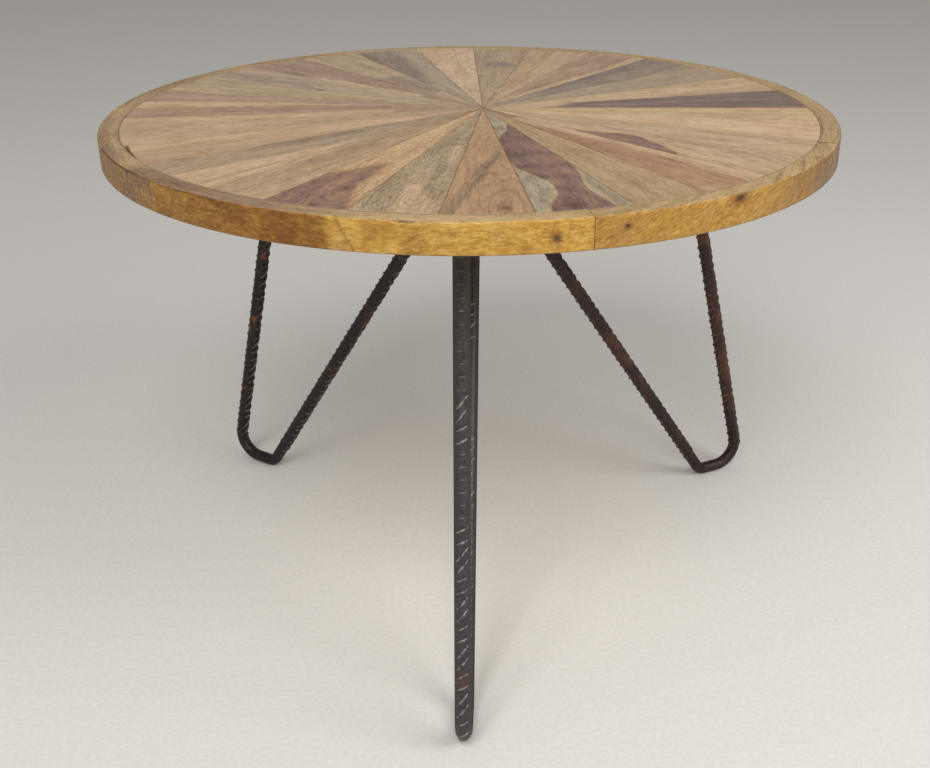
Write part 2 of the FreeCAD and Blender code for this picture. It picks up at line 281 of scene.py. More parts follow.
# The figure, as length and width in millimetres and detail: streaks, fibres, mottle, pores, and the swirl
# that the rings follow. Fibres and pores are drawn coarser than real ones, which would be too fine to show.
PLANK_FIGURE = ((170.0, 8.0, 2.0), (11.0, 2.2, 4.0), (46.0, 20.0, 3.0), (6.0, 1.6, 1.0), (150.0, 34.0, 1.0))
PLANK_WANDER_MM = 12.0
PLANK_RING_PUSH_MM = (10.0, 25.0)
PLANK_PATTERN_STEP = 0.731
GRAIN_SWAY_MM = (111.0, 38.5)
GRAIN_DEPTH = 3.7
PORE_DEPTH = 0.12 * MILLIMETRE

# Dirt and glue that darken each side of a seam: how far in, and how dark.
PLANK_SEAM_DIRT = 1.0 * MILLIMETRE
PLANK_SEAM_DARK = 0.35


def make_piece(name, vertices, faces, material, grain=None, marks=None):
    """A mesh object at the origin, with its grain map and its painted values by vertex."""
    mesh = bpy.data.meshes.new(name)
    mesh.from_pydata(vertices, [], faces)
    if grain:
        layer = mesh.uv_layers.new(name="grain")
        for loop in mesh.loops:
            layer.data[loop.index].uv = grain[loop.vertex_index]
    for label, values in (marks or {}).items():
        mesh.attributes.new(label, "FLOAT", "POINT").data.foreach_set("value", values)
    mesh.materials.append(material)
    mesh.update()
    piece = bpy.data.objects.new(name, mesh)
    bpy.context.scene.collection.objects.link(piece)
    return piece


def grid_faces(rows, columns, rows_close=False, columns_close=False):
    """Faces with four corners over rows of points, where the last row or column may close on the first."""
    faces = []
    for row in range(rows if rows_close else rows - 1):
        here = row * columns
        there = (row + 1) % rows * columns
        for column in range(columns if columns_close else columns - 1):
            beside = (column + 1) % columns
            faces.append((here + column, there + column, there + beside, here + beside))
    return faces


def angles_spanned(points):
    """The first and last angle that flat points reach round the origin."""
    middle = math.atan2(sum(point.y for point in points), sum(point.x for point in points))
    turns = [math.remainder(math.atan2(point.y, point.x) - middle, math.tau) for point in points]
    return middle + min(turns), middle + max(turns)


def grain_figure(tree, offset, wander_mm, sizes_mm):
    """Noise laid along a grain map that sways, one for each (length, width, detail), from 0 to 1."""
    grain = add_node(tree, "ShaderNodeUVMap", uv_map="grain")
    depth = add_node(tree, "ShaderNodeCombineXYZ", {2: offset})
    start = add_node(tree, "ShaderNodeVectorMath", (grain, depth))
    size = repeats(*GRAIN_SWAY_MM, GRAIN_DEPTH)
    slow = add_node(tree, "ShaderNodeVectorMath", (start, size), operation="MULTIPLY")
    wander = add_node(tree, "ShaderNodeTexNoise", {"Vector": slow, "Scale": 1.0, "Detail": 1.0})
    most = wander_mm * MILLIMETRE
    sway = add_node(tree, "ShaderNodeMath", (wander, most, -most / 2), operation="MULTIPLY_ADD")
    shift = add_node(tree, "ShaderNodeCombineXYZ", {1: sway})
    bent = add_node(tree, "ShaderNodeVectorMath", (start, shift))
    figure = []
    for length, width, detail in sizes_mm:
        size = repeats(length, width, GRAIN_DEPTH)
        laid = add_node(tree, "ShaderNodeVectorMath", (bent, size), operation="MULTIPLY")
        figure.append(add_node(tree, "ShaderNodeTexNoise", {
            "Vector": laid, "Scale": 1.0, "Detail": detail, "Roughness": 0.6}))
    return figure


def knot_stains(tree, noise_share, amount, knot, rings):
    """The share and colour of each ring of a knot, made uneven by a noise."""
    uneven = add_node(tree, "ShaderNodeMath", (noise_share, amount, knot), operation="MULTIPLY_ADD")
    return [(add_node(tree, "ShaderNodeMapRange", (uneven, near, far, most, 0.0)), code)
            for near, far, most, code in rings]


def varnish(tree, colour, darkenings, pore, fibres, tone, roughness, sheen):
    """Lays stains, and on the rim painted shade, over a wood's colour, sinks its pores, and gives it a gloss
    that follows its tone.
    """
    for share, code in darkenings:
        colour = add_node(tree, "ShaderNodeMix", {0: share, 6: colour, 7: linear(code)}, output=2,
                          data_type="RGBA")
    height = add_node(tree, "ShaderNodeMath", (pore, -0.8, fibres), operation="MULTIPLY_ADD")
    relief = add_node(tree, "ShaderNodeBump", {"Strength": 0.3, "Distance": PORE_DEPTH, "Height": height})
    gloss = add_node(tree, "ShaderNodeMapRange", (tone, 0.35, 0.65, *roughness))
    set_inputs(tree, tree.nodes["Principled BSDF"], {
        "Base Color": colour, "Roughness": gloss, "Normal": relief, "Specular IOR Level": sheen})


def varnished_plank(name, codes):
    """Satin-varnished hardwood: soft streaks, short pores, growth rings, and pale and dark areas."""
    material, tree = new_material("varnished_plank_" + name)
    painted = {mark: add_node(tree, "ShaderNodeAttribute", output="Fac", attribute_name=mark)
               for mark in (*PLANK_PATCH_SOFTNESS, "knot", "away", "pace", "figured", "offset", "spread")}
    figure = grain_figure(tree, painted["offset"], PLANK_WANDER_MM, PLANK_FIGURE)
    lines, fibres, mottle, pores, swirl = figure
    plain = lines
    for share, other in ((0.5, mottle), (0.44, fibres)):
        plain = add_node(tree, "ShaderNodeMix", {0: share, 2: plain, 3: other}, data_type="FLOAT")
    # Rings are thin dark level lines of the millimetres out from a point, which two slow noises push about.
    turn = painted["away"]
    for push, most_mm in zip((mottle, swirl), PLANK_RING_PUSH_MM):
        turn = add_node(tree, "ShaderNodeMath", (push, most_mm, turn), operation="MULTIPLY_ADD")
    turn = add_node(tree, "ShaderNodeMath", (turn, painted["pace"]), operation="MULTIPLY")
    ring = add_node(tree, "ShaderNodeMath", (turn,), operation="SINE")
    ring = add_node(tree, "ShaderNodeMapRange", (ring, -0.1, 1.0))
    ring = add_node(tree, "ShaderNodeMath", (ring, painted["figured"]), operation="MULTIPLY")
    tone = add_node(tree, "ShaderNodeMath", (ring, -0.075, plain), operation="MULTIPLY_ADD")
    colour = add_node(tree, "ShaderNodeValToRGB", (tone,), stops=zip(PLANK_STOPS, codes))
    for kind, low, high, most, patch_codes in PLANK_PATCH_LAYERS:
        ragged = add_node(tree, "ShaderNodeMath", (lines, PLANK_PATCH_RAGGED, painted[kind]),
                          operation="MULTIPLY_ADD")
        # The streaks average a half, so the edge is moved by half of what they add.
        middle = PLANK_PATCH_RAGGED / 2
        edge = add_node(tree, "ShaderNodeMapRange", (ragged, low + middle, high + middle, 0.0, most),
                        interpolation_type="SMOOTHSTEP")
        other = add_node(tree, "ShaderNodeValToRGB", (tone,), stops=zip(PLANK_STOPS, patch_codes))
        colour = add_node(tree, "ShaderNodeMix", {0: edge, 6: colour, 7: other}, output=2, data_type="RGBA")
    # The grain map runs along the plank and out from its middle line, so it tells how far off the seams are.
    grain = add_node(tree, "ShaderNodeUVMap", uv_map="grain")
    run, side, _ = add_node(tree, "ShaderNodeSeparateXYZ", (grain,), output=None)
    half = add_node(tree, "ShaderNodeMath", (run, painted["spread"]), operation="MULTIPLY")
    side = add_node(tree, "ShaderNodeMath", (side,), operation="ABSOLUTE")
    inset = add_node(tree, "ShaderNodeMath", (half, side), operation="SUBTRACT")
    seam = add_node(tree, "ShaderNodeMapRange", (inset, 0.0, PLANK_SEAM_DIRT, PLANK_SEAM_DARK, 0.0))
    pore = add_node(tree, "ShaderNodeMapRange", (pores, 0.6, 0.72, 0.0, 0.4))
    darkenings = [(pore, "#4b3728"), (seam, "#4b3728")]
    darkenings += knot_stains(tree, mottle, 0.6, painted["knot"], PLANK_KNOT_RINGS)
    varnish(tree, colour, darkenings, pore, fibres, tone, roughness=(0.52, 0.42), sheen=0.35)
    return material


def patch_share(rows, along, across, length, width, softness):
    """How far a point is inside a patch: 0 well outside, 0.5 on its edge and 1 well inside."""
    first, last = rows[0], rows[-1]
    for lower, upper in zip(rows, rows[1:]):
        if along <= upper[0]:
            break
    reach = min(max((along - lower[0]) / (upper[0] - lower[0]), 0.0), 1.0)
    left = lower[1] + (upper[1] - lower[1]) * reach
    right = lower[2] + (upper[2] - lower[2]) * reach
    depths = [softness]
    if left > 0:
        depths.append((across - left) * width)
    if right < 1:
        depths.append((right - across) * width)
    if first[0] > 0:
        depths.append((along - first[0]) * length)
    if last[0] < 1:
        depths.append((last[0] - along) * length)
    return max(0.5 + min(depths) / (2 * softness), 0.0)


def wedge_plank(number, material):
    """A wedge with eased upper edges, between the tip, seams and arc of its CAD solid."""
    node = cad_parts["plank_%02d" % number]
    low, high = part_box(node.name)
    flat = [vertex.co.to_2d() for vertex in node.data.vertices if vertex.co.z > high.z - MILLIMETRE]
    disc_radius = max(point.length for point in flat)
    tip = min(flat, key=lambda point: point.length)
    start, end = angles_spanned([point - tip for point in flat if point.length > disc_radius - MILLIMETRE])
    sweep = end - start
    bisector = Vector((math.cos(start + sweep / 2), math.sin(start + sweep / 2)))
    tip = tip - bisector * (PLANK_SEAM_FILL / math.sin(sweep / 2))
    gap_share, gap_width = PLANK_SHORT_ENDS.get(number, (1.0, 0.0))

    def point_at(along_share, across_share):
        angle = start + sweep * across_share
        ray = Vector((math.cos(angle), math.sin(angle)))
        inward = -tip.dot(ray)
        reach = inward + math.sqrt(inward ** 2 - tip.length_squared + (disc_radius + PLANK_END_FILL) ** 2)
        reach -= gap_width * max(1.0 - across_share / gap_share, 0.0)
        return tip + ray * (reach * along_share), reach

    length = point_at(1.0, 0.5)[1]
    rows = [PLANK_TIP_BLUNT / length]
    rows += [step / PLANK_STEPS_ALONG for step in range(1, PLANK_STEPS_ALONG)]
    rows += [1.0 - PLANK_EASE / length, 1.0]
    spacing_mm, ring_reach_mm, strength, slim, eyes = PLANK_SWIRLS.get(number, PLANK_PLAIN_RINGS)
    vertices, grain = [], []
    marks = {kind: [] for kind in (*PLANK_PATCH_SOFTNESS, "knot", "away", "pace", "figured")}
    for along in rows:
        width = along * length * sweep
        ease = min(PLANK_EASE / width, PLANK_EASE_MOST_OF_WIDTH)
        columns = [ease + (1 - 2 * ease) * step / PLANK_STEPS_ACROSS
                   for step in range(PLANK_STEPS_ACROSS + 1)]
        for across in (0.0, *columns, 1.0):
            spot = point_at(along, across)[0]
            eased = along == 1.0 or across in (0.0, 1.0)
            vertices.append((spot.x, spot.y, high.z - (PLANK_EASE if eased else 0.0)))
            grain.append((along * length, (across - 0.5) * width))
            for kind, softness in PLANK_PATCH_SOFTNESS.items():
                shares = [patch_share(outline, along, across, length, width, softness * MILLIMETRE)
                          for patch, outline in PLANK_PATCHES.get(number, ()) if patch == kind]
                marks[kind].append(max(shares, default=0.0))
            gaps = [KNOT_FAR]
            for knot_along, knot_across, radius_mm in PLANK_KNOTS.get(number, ()):
                gap = math.hypot((along - knot_along) * length * PLANK_KNOT_WIDTH,
                                 (across - knot_across) * width)
                gaps.append(gap / (radius_mm * MILLIMETRE))
            marks["knot"].append(min(gaps))
            aways = [math.hypot((along - eye[0]) * length * slim, (across - eye[1]) * width) for eye in eyes]
            away_mm = min(aways, default=0.0) / MILLIMETRE
            marks["away"].append(away_mm)
            marks["pace"].append(math.tau / spacing_mm)
            marks["figured"].append(PLANK_FAINT_RINGS + strength * math.exp(-(away_mm / ring_reach_mm) ** 2))
    across_count = len(columns) + 2
    last_row = len(rows) - 1
    faces = grid_faces(len(rows), across_count)
    outline = [row * across_count for row in range(last_row)]
    outline += [last_row * across_count + column for column in range(across_count - 1)]
    outline += [row * across_count + across_count - 1 for row in range(last_row, 0, -1)]
    outline += list(range(across_count - 1, 0, -1))
    base = len(vertices)
    for corner in outline:
        x, y, _ = vertices[corner]
        vertices.append((x, y, low.z))
        grain.append(grain[corner])
        for values in marks.values():
            values.append(values[corner])
    for step, corner in enumerate(outline):
        ahead = (step + 1) % len(outline)
        faces.append((corner, base + step, base + ahead, outline[ahead]))
    faces.append(tuple(reversed(range(base, base + len(outline)))))
    marks["offset"] = [number * PLANK_PATTERN_STEP] * len(vertices)
    marks["spread"] = [sweep / 2] * len(vertices)
    return make_piece("wedge_plank_%02d" % number, vertices, faces, material, grain, marks)


plank_materials = {name: varnished_plank(name, codes) for name, (_, *codes) in PLANK_TONES.items()}
for number, tone in enumerate(PLANK_ORDER, 1):
    plank = wedge_plank(number, plank_materials[tone])
    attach(plank, "root")
    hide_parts("plank_%02d" % number)


# Rim: nine curved lengths of solid hardwood, butt jointed end to end round the starburst, with their outer
# corners rounded over. The varnish brings up a strong gold on the outside and the grain follows the ring.
RIM_STEP = math.radians(0.25)
RIM_CORNER_STEPS = 4
RIM_FACE_STEPS = 14
RIM_TOP_STEPS = 5
RIM_ROUND = 1.5 * MILLIMETRE
RIM_EASE = 0.15 * MILLIMETRE
RIM_JOINT_FILL = 0.06 * MILLIMETRE
RIM_GLUE_LINE = 0.55 * MILLIMETRE
RIM_END_FILL = 0.1 * MILLIMETRE

# Two lengths were sawn from one board and their joint doesn't show: the first of them, then the second.
RIM_MATCHED = (7, 8)

# The azimuth and half width of a joint that has opened a little on the top. Then how dark joints are on the
# outside, on the top and there, and the share of that which is left in its outer half, where it closes.
RIM_OPEN_JOINT = -22.7
RIM_OPEN_JOINT_HALF = 0.9 * MILLIMETRE
RIM_JOINT_DARK = 0.75
RIM_TOP_JOINT_DARK = 0.3
RIM_OPEN_JOINT_DARK = 0.95
RIM_OPEN_JOINT_CLOSES = 0.5

# Azimuths between which the upper outer corner is painted dark, as old bark and as painted shade, and how
# dark.
# Then how dark the painted shade is on the lower corner all round, and on the inside, which shows only past
# a plank that ends short.
RIM_BARK_AND_SHADE_EDGES = (
    (-157.0, -141.5, 0.7), (-141.5, -124.0, 0.35), (-99.5, -99.0, 0.4), (-99.0, -97.9, 0.75),
    (-97.9, -97.1, 0.5), (-97.1, -94.6, 0.2))
RIM_LOW_EDGE_PAINTED_SHADE = 0.35
RIM_INSIDE_PAINTED_SHADE = 0.85

# How far corners and the top reach for these colours, as shares of the rounding.
RIM_CORNER_WIDTH = 0.9
RIM_CORNER_DEPTH = 0.8
RIM_LOW_DEPTH = 0.5
RIM_TOP_DEPTH = 0.2

# How strongly clouds of brown stand out, and the lengths where they are calmer.
RIM_CLOUDS = 1.6
RIM_CALM_CLOUDS = {9: 0.8, 1: 0.8}

# How far the grain climbs or falls along a length, where it doesn't run level.
RIM_GRAIN_RISE = {9: -0.4}

# Knots: azimuth, height share, radius in millimetres and how many times longer they are along the ring.
# Streaks: from azimuth and height share, to azimuth and height share, and half width in millimetres. Then a
# knot's ring and heart, as on the planks, and the degrees beside a streak where the sweep takes extra steps.
RIM_KNOTS = (
    (-80.2, 0.46, 3.6, 1.0), (-71.2, 0.63, 2.1, 1.3), (-54.1, 0.86, 3.4, 2.0), (40.0, 0.4, 3.0, 1.5),
    (118.0, 0.6, 2.6, 1.2))
RIM_STREAKS = (
    (-106.9, 1.0, -104.5, 0.0, 2.6), (-78.6, 0.95, -78.6, 0.62, 0.5), (-99.2, 1.0, -98.6, 0.9, 1.6))
RIM_KNOT_RINGS = ((1.3, 2.5, 0.6, "#6b3f17"), (0.95, 1.5, 0.85, "#3a2312"))
RIM_STREAK_STEPS = (-0.12, 0.0, 0.12)

# Colour round the ring: azimuth, brown share and grey share of the outside, mauve share of the top.
RIM_TINTS = (
    (-180.0, 0.5, 0.4, 0.3), (-168.0, 0.5, 0.4, 0.5), (-150.0, 0.5, 0.4, 0.6), (-146.0, 0.5, 0.4, 0.2),
    (-145.4, 0.15, 0.85, 0.1), (-142.0, 0.1, 0.8, 0.8), (-137.5, 0.1, 0.7, 0.9), (-136.0, 0.5, 0.0, 0.9),
    (-130.0, 0.6, 0.0, 0.8), (-124.0, 0.75, 0.0, 0.6), (-117.5, 0.6, 0.0, 0.55), (-116.5, 0.9, 0.0, 0.55),
    (-108.5, 0.65, 0.0, 0.4), (-107.0, 0.05, 0.0, 0.25), (-99.5, 0.0, 0.0, 0.2), (-98.5, 0.3, 0.0, 0.1),
    (-92.0, 0.12, 0.0, 0.0), (-76.0, 0.2, 0.0, 0.0), (-75.0, 0.42, 0.1, 0.2), (-50.0, 0.34, 0.15, 0.15),
    (-33.0, 0.5, 0.62, 0.2), (-15.0, 0.55, 0.8, 0.25), (60.0, 0.2, 0.1, 0.2), (120.0, 0.4, 0.2, 0.25),
    (160.0, 0.5, 0.4, 0.5), (180.0, 0.5, 0.4, 0.3))

# The figure, as length and width in millimetres and detail: streaks, fibres, clouds, pores, curly mottle and
# upright end grain. Fibres and pores are drawn coarser than real ones, so that they show.
RIM_FIGURE = (
    (110.0, 5.0, 2.0), (5.0, 1.2, 2.0), (26.0, 22.0, 2.0), (3.0, 1.0, 1.0), (4.5, 2.4, 3.0),
    (2.6, 40.0, 2.0))
RIM_WANDER_MM = 8.0
RIM_PATTERN_START = 20.0
RIM_PATTERN_STEP = 1.37
RIM_STOPS = (0.38, 0.5, 0.62)
RIM_SIDE_SHADES = {
    "gold": ("#96691f", "#bb8f3d", "#d6b15e"),
    "brown": ("#5c380e", "#805017", "#a47428"),
    "grey": ("#5e4428", "#826340", "#9d805b"),
}
# The top's colours: the wood greyed by a painted reflection of the pale surround on the satin varnish.
RIM_TOP_COLOURS_WITH_PAINTED_HAZE = {"top": ("#8c6e48", "#b39566", "#cbae80"), "mauve": ("#745840", "#907358", "#a6896b")}

# Varnished hardwood seen along the ring: yellow gold with brown clouds outside, a sanded top greyed by
# painted reflection.
rim_wood, tree = new_material("varnished_rim")
painted = {mark: add_node(tree, "ShaderNodeAttribute", output="Fac", attribute_name=mark)
           for mark in ("offset", "brown", "grey", "mauve", "cloudy", "top_face", "knot", "glue")}
figure = grain_figure(tree, painted["offset"], RIM_WANDER_MM, RIM_FIGURE)
lines, fibres, clouds, pores, curl, end_grain = figure
end_share = add_node(tree, "ShaderNodeMath", (painted["grey"], 0.6), operation="MULTIPLY")
side_tone = clouds
for share, other in ((0.5, curl), (0.15, lines), (end_share, end_grain), (0.3, fibres)):
    side_tone = add_node(tree, "ShaderNodeMix", {0: share, 2: side_tone, 3: other}, data_type="FLOAT")
top_tone = lines
for share, other in ((0.4, clouds), (0.4, fibres)):
    top_tone = add_node(tree, "ShaderNodeMix", {0: share, 2: top_tone, 3: other}, data_type="FLOAT")
shades = {}
for tone, colours in ((side_tone, RIM_SIDE_SHADES), (top_tone, RIM_TOP_COLOURS_WITH_PAINTED_HAZE)):
    for kind, codes in colours.items():
        shades[kind] = add_node(tree, "ShaderNodeValToRGB", (tone,), stops=zip(RIM_STOPS, codes))
drift = add_node(tree, "ShaderNodeMath", (clouds, 0.5), operation="SUBTRACT")
for kind, base in (("brown", "gold"), ("grey", "gold"), ("mauve", "top")):
    cloud = add_node(tree, "ShaderNodeMath", (drift, painted["cloudy"], painted[kind]),
                     operation="MULTIPLY_ADD")
    share = add_node(tree, "ShaderNodeMapRange", (cloud, 0.15, 0.75))
    shades[base] = add_node(tree, "ShaderNodeMix", {0: share, 6: shades[base], 7: shades[kind]}, output=2,
                            data_type="RGBA")
# The top face takes its greyer colours, a painted reflection on the varnish.
colour = add_node(tree, "ShaderNodeMix", {0: painted["top_face"], 6: shades["gold"], 7: shades["top"]},
                  output=2, data_type="RGBA")
pore = add_node(tree, "ShaderNodeMapRange", (pores, 0.6, 0.72, 0.0, 0.35))
darkenings = [(pore, "#4a3014")]
darkenings += knot_stains(tree, curl, 1.2, painted["knot"], RIM_KNOT_RINGS)
# The joints, and painted shade on the inside, the lower corner and parts of the upper corner, in dark brown.
darkenings.append((painted["glue"], "#3f2a15"))
varnish(tree, colour, darkenings, pore, fibres, side_tone, roughness=(0.5, 0.38), sheen=0.4)


def rim_tint(azimuth, column):
    """The brown, grey or mauve share of the rim at an azimuth in degrees."""
    for lower, upper in zip(RIM_TINTS, RIM_TINTS[1:]):
        if lower[0] <= azimuth <= upper[0]:
            reach = (azimuth - lower[0]) / (upper[0] - lower[0])
            return lower[column] + (upper[column] - lower[column]) * reach
    return 0.0


def rim_section(inner, outer, base, top):
    """The rim's section as radii and heights, from the lower inner corner round the outside to the upper."""
    middle = outer - RIM_ROUND
    corners = []
    for level, first in ((base + RIM_ROUND, -90.0), (top - RIM_ROUND, 0.0)):
        angles = [math.radians(first + 90.0 * step / RIM_CORNER_STEPS)
                  for step in range(RIM_CORNER_STEPS + 1)]
        corners.append([(middle + RIM_ROUND * math.cos(angle), level + RIM_ROUND * math.sin(angle))
                        for angle in angles])
    rise = top - base - 2 * RIM_ROUND
    face = [(outer, base + RIM_ROUND + rise * step / RIM_FACE_STEPS) for step in range(1, RIM_FACE_STEPS)]
    width = middle - inner - RIM_EASE
    flat = [(middle - width * step / RIM_TOP_STEPS, top) for step in range(1, RIM_TOP_STEPS + 1)]
    return [(inner, base), *corners[0], *face, *corners[1], *flat, (inner, top - RIM_EASE)]


def rim_knot_gap(azimuth, share, outer, height):
    """How many of its own radii the nearest knot or streak is from a point of the outside."""
    gaps = [KNOT_FAR]
    for knot_azimuth, knot_share, radius_mm, stretch in RIM_KNOTS:
        along = math.radians(azimuth - knot_azimuth) * outer / stretch
        gaps.append(math.hypot(along, (share - knot_share) * height) / (radius_mm * MILLIMETRE))
    for from_azimuth, from_share, to_azimuth, to_share, half_mm in RIM_STREAKS:
        run = (share - from_share) / (to_share - from_share)
        held = min(max(run, 0.0), 1.0)
        along = math.radians(azimuth - from_azimuth - (to_azimuth - from_azimuth) * held) * outer
        across = (run - held) * (to_share - from_share) * height
        gaps.append(1.0 + math.hypot(along, across) / (half_mm * MILLIMETRE))
    return min(gaps)


def close_shape(shape, mesh):
    """Turns a shape's faces outwards, smooths all but its flat ends and cuts, and puts it in the mesh."""
    bmesh.ops.recalc_face_normals(shape, faces=shape.faces)
    for face in shape.faces:
        face.smooth = len(face.verts) <= 4
    shape.to_mesh(mesh)
    shape.free()


def rim_segment(number):
    """A curved length of rim between the ends of its CAD solid, swept in quarter degree steps."""
    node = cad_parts["rim_segment_%d" % number]
    low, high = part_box(node.name)
    flat = [vertex.co.to_2d() for vertex in node.data.vertices]
    outer = max(point.length for point in flat)
    inner = min(point.length for point in flat)
    start, end = angles_spanned(flat)
    middle = (start + end) / 2
    start -= RIM_END_FILL / outer
    end += RIM_END_FILL / outer
    if number == RIM_MATCHED[0]:
        end += RIM_JOINT_FILL / outer
    if number == RIM_MATCHED[1]:
        start -= RIM_JOINT_FILL / outer
    section = rim_section(inner, outer, low.z, high.z)
    steps = math.ceil((end - start) / RIM_STEP)
    angles = [start + (end - start) * step / steps for step in range(steps + 1)]
    for streak in RIM_STREAKS:
        for nudge in RIM_STREAK_STEPS:
            extra = middle + math.remainder(math.radians(streak[0] + nudge) - middle, math.tau)
            if start < extra < end:
                angles.append(extra)
    angles += [start + RIM_GLUE_LINE / outer, end - RIM_GLUE_LINE / outer]
    angles.sort()
    glued_ends = [start] * (number != RIM_MATCHED[1]) + [end] * (number != RIM_MATCHED[0])
    rise = RIM_GRAIN_RISE.get(number, 0.0)
    vertices, grain = [], []
    marks = {kind: [] for kind in ("top_face", "knot", "brown", "grey", "mauve", "glue")}
    for angle in angles:
        azimuth = math.degrees(math.remainder(angle, math.tau))
        in_open_joint = abs(math.radians(azimuth - RIM_OPEN_JOINT)) * outer < RIM_OPEN_JOINT_HALF
        run = 0.0
        for place, (radius, level) in enumerate(section):
            if place:
                run += math.dist(section[place], section[place - 1])
            vertices.append((radius * math.cos(angle), radius * math.sin(angle), level))
            grain.append((angle * outer, run + rise * angle * outer))
            outside = radius > outer - RIM_CORNER_WIDTH * RIM_ROUND
            on_top = level > high.z - RIM_TOP_DEPTH * RIM_ROUND
            # Painted shade on the inside, the lower corner and parts of the upper corner, and the dark
            # joints, in one mark.
            dark = [RIM_INSIDE_PAINTED_SHADE * (radius == inner)]
            if outside and level < low.z + RIM_LOW_DEPTH * RIM_ROUND:
                dark.append(RIM_LOW_EDGE_PAINTED_SHADE)
            if outside and level > high.z - RIM_CORNER_DEPTH * RIM_ROUND:
                dark += [depth for first, last, depth in RIM_BARK_AND_SHADE_EDGES if first < azimuth < last]
            if on_top and in_open_joint:
                inner_half = radius < (inner + outer) / 2
                dark.append(RIM_OPEN_JOINT_DARK * (1.0 if inner_half else RIM_OPEN_JOINT_CLOSES))
            if angle in glued_ends:
                dark.append(RIM_TOP_JOINT_DARK if on_top else RIM_JOINT_DARK)
            marks["glue"].append(max(dark))
            marks["top_face"].append(float(on_top))
            for column, kind in enumerate(("brown", "grey", "mauve"), 1):
                marks[kind].append(rim_tint(azimuth, column))
            share = (level - low.z) / (high.z - low.z)
            gap = rim_knot_gap(azimuth, share, outer, high.z - low.z)
            marks["knot"].append(KNOT_FAR if on_top and radius < outer - RIM_ROUND else gap)
    count = len(section)
    last = (len(angles) - 1) * count
    faces = grid_faces(len(angles), count, columns_close=True)
    faces.append(tuple(range(count)))
    faces.append(tuple(reversed(range(last, last + count))))
    board_number = RIM_MATCHED[0] if number in RIM_MATCHED else number
    marks["offset"] = [RIM_PATTERN_START + board_number * RIM_PATTERN_STEP] * len(vertices)
    marks["cloudy"] = [RIM_CALM_CLOUDS.get(number, RIM_CLOUDS)] * len(vertices)
    piece = make_piece("rim_length_%d" % number, vertices, faces, rim_wood, grain, marks)
    shape = bmesh.new()
    shape.from_mesh(piece.data)
    close_shape(shape, piece.data)
    return piece


for number in range(1, 10):
    length = rim_segment(number)
    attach(length, "root")
    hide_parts("rim_segment_%d" % number)


# Legs: each one length of 12 mm reinforcing bar, hot rolled with crescent ribs on two sides and a plain rib
# along the other two, bent cold to a hairpin with a short flat foot, and welded under the plates.
BAR_RADIUS = 5.8 * MILLIMETRE
LEG_TOP_RADIUS = 212.5 * MILLIMETRE
LEG_FOOT_RADIUS = 309.6 * MILLIMETRE
LEG_FOOT_LENGTH = 50.0 * MILLIMETRE
LEG_FOOT_LEVEL = 6.0 * MILLIMETRE
LEG_OVERRUN = 20.0 * MILLIMETRE
PLATE_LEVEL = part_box("hub_plate")[0].z
LEG_AZIMUTHS = {"front": -92.5, "right": 24.7, "left": 147.2}
BAR_SIZES = {
    "Bar radius": BAR_RADIUS,
    "Outer bend radius": 22.0 * MILLIMETRE,
    "Inner bend radius": 12.0 * MILLIMETRE,
    "Rib pitch": 9.3 * MILLIMETRE,
    "Long rib height": 0.45 * MILLIMETRE,
}

# Plain stretches of the front bar, by height in metres, where only low short bars are rolled on.
FRONT_PLAIN_STRETCHES = {
    "Upper plain low": 0.273, "Upper plain high": 0.391, "Lower plain low": 0.182, "Lower plain high": 0.238}

# For each leg, the level of its lowest rib, and the ribs' half width and height, in millimetres. Then the
# degrees that the ribs sweep.
LEG_RIBS = {
    "front": (10.0, 1.1, 1.0, 92.0),
    "right": (26.0, 1.1, 1.2, 118.0),
    "left": (26.0, 1.1, 1.2, 118.0),
}

# Three sorts of rib, steep, gentle and low short bars: share of that sweep, how steeply they are raked,
# whether both sides of the bar have them, and how bright they are rubbed, with a painted highlight.
RIB_SORTS = ((1.0, -1.3, True, 1.0), (1.0, -0.5, True, 1.0), (0.6, -0.1, False, 0.4))
RIB_SET = 4
RIB_THINNEST = 0.12

# Shares of the bar's radius from which the plain rib rises, and between which the flank takes grime and
# painted shade.
PLAIN_RIB_FROM = 0.955
BAR_FLANK = (0.55, 0.95)

# How finely the bar, its bends and its ribs are divided, and how near a point lies to a cut to be on it.
BAR_STEPS_ROUND = 40
BEND_STEPS = 10
RIB_STEPS_ROUND = 6
RIB_STEPS_ALONG = 9
CUT_TOLERANCE = 0.001 * MILLIMETRE

# For each leg, how free of rust it is, the three colours of its rust and of its mill scale, how bright its
# ribs are rubbed with a painted highlight, and how dark its flanks are with grime and painted shade.
LEG_FINISHES = {
    # The front leg's lighter mill scale is partly painted light: a painted sheen that lifts it out of the
    # rim's shadow.
    "front": (0.58, ("#3a2822", "#48302a", "#54352b"), ("#3c3a39", "#474442", "#53504d"), 0.75, 0.5),
    "right": (0.45, ("#37241c", "#492d21", "#5e3a27"), ("#261d1b", "#362824", "#493933"), 0.25, 0.15),
    "left": (0.57, ("#3a2018", "#6e3a20", "#9a552b"), ("#1f1b1a", "#2d2826", "#3f3936"), 0.4, 0.15),
}

# Millimetres across, detail and roughness: patches that rust, blooms of rust in them, and the mill scale.
BAR_FIGURE = ((45.5, 2.0, 0.5), (11.76, 5.0, 0.65), (3.03, 3.0, 0.5))
RUST_DEPTH = 0.2 * MILLIMETRE

# Heights between which the foot, rubbed clean of rust, turns into the bar.
FOOT_RUBBED = (20.0 * MILLIMETRE, 50.0 * MILLIMETRE)


def object_figure(tree, sizes_mm):
    """Noise over a piece's own place, one for each (millimetres across, detail, roughness), from 0 to 1."""
    place = add_node(tree, "ShaderNodeTexCoord", output="Object")
    return [add_node(tree, "ShaderNodeTexNoise", {
        "Vector": place, "Scale": 1 / (size_mm * MILLIMETRE), "Detail": detail, "Roughness": rough})
        for size_mm, detail, rough in sizes_mm]


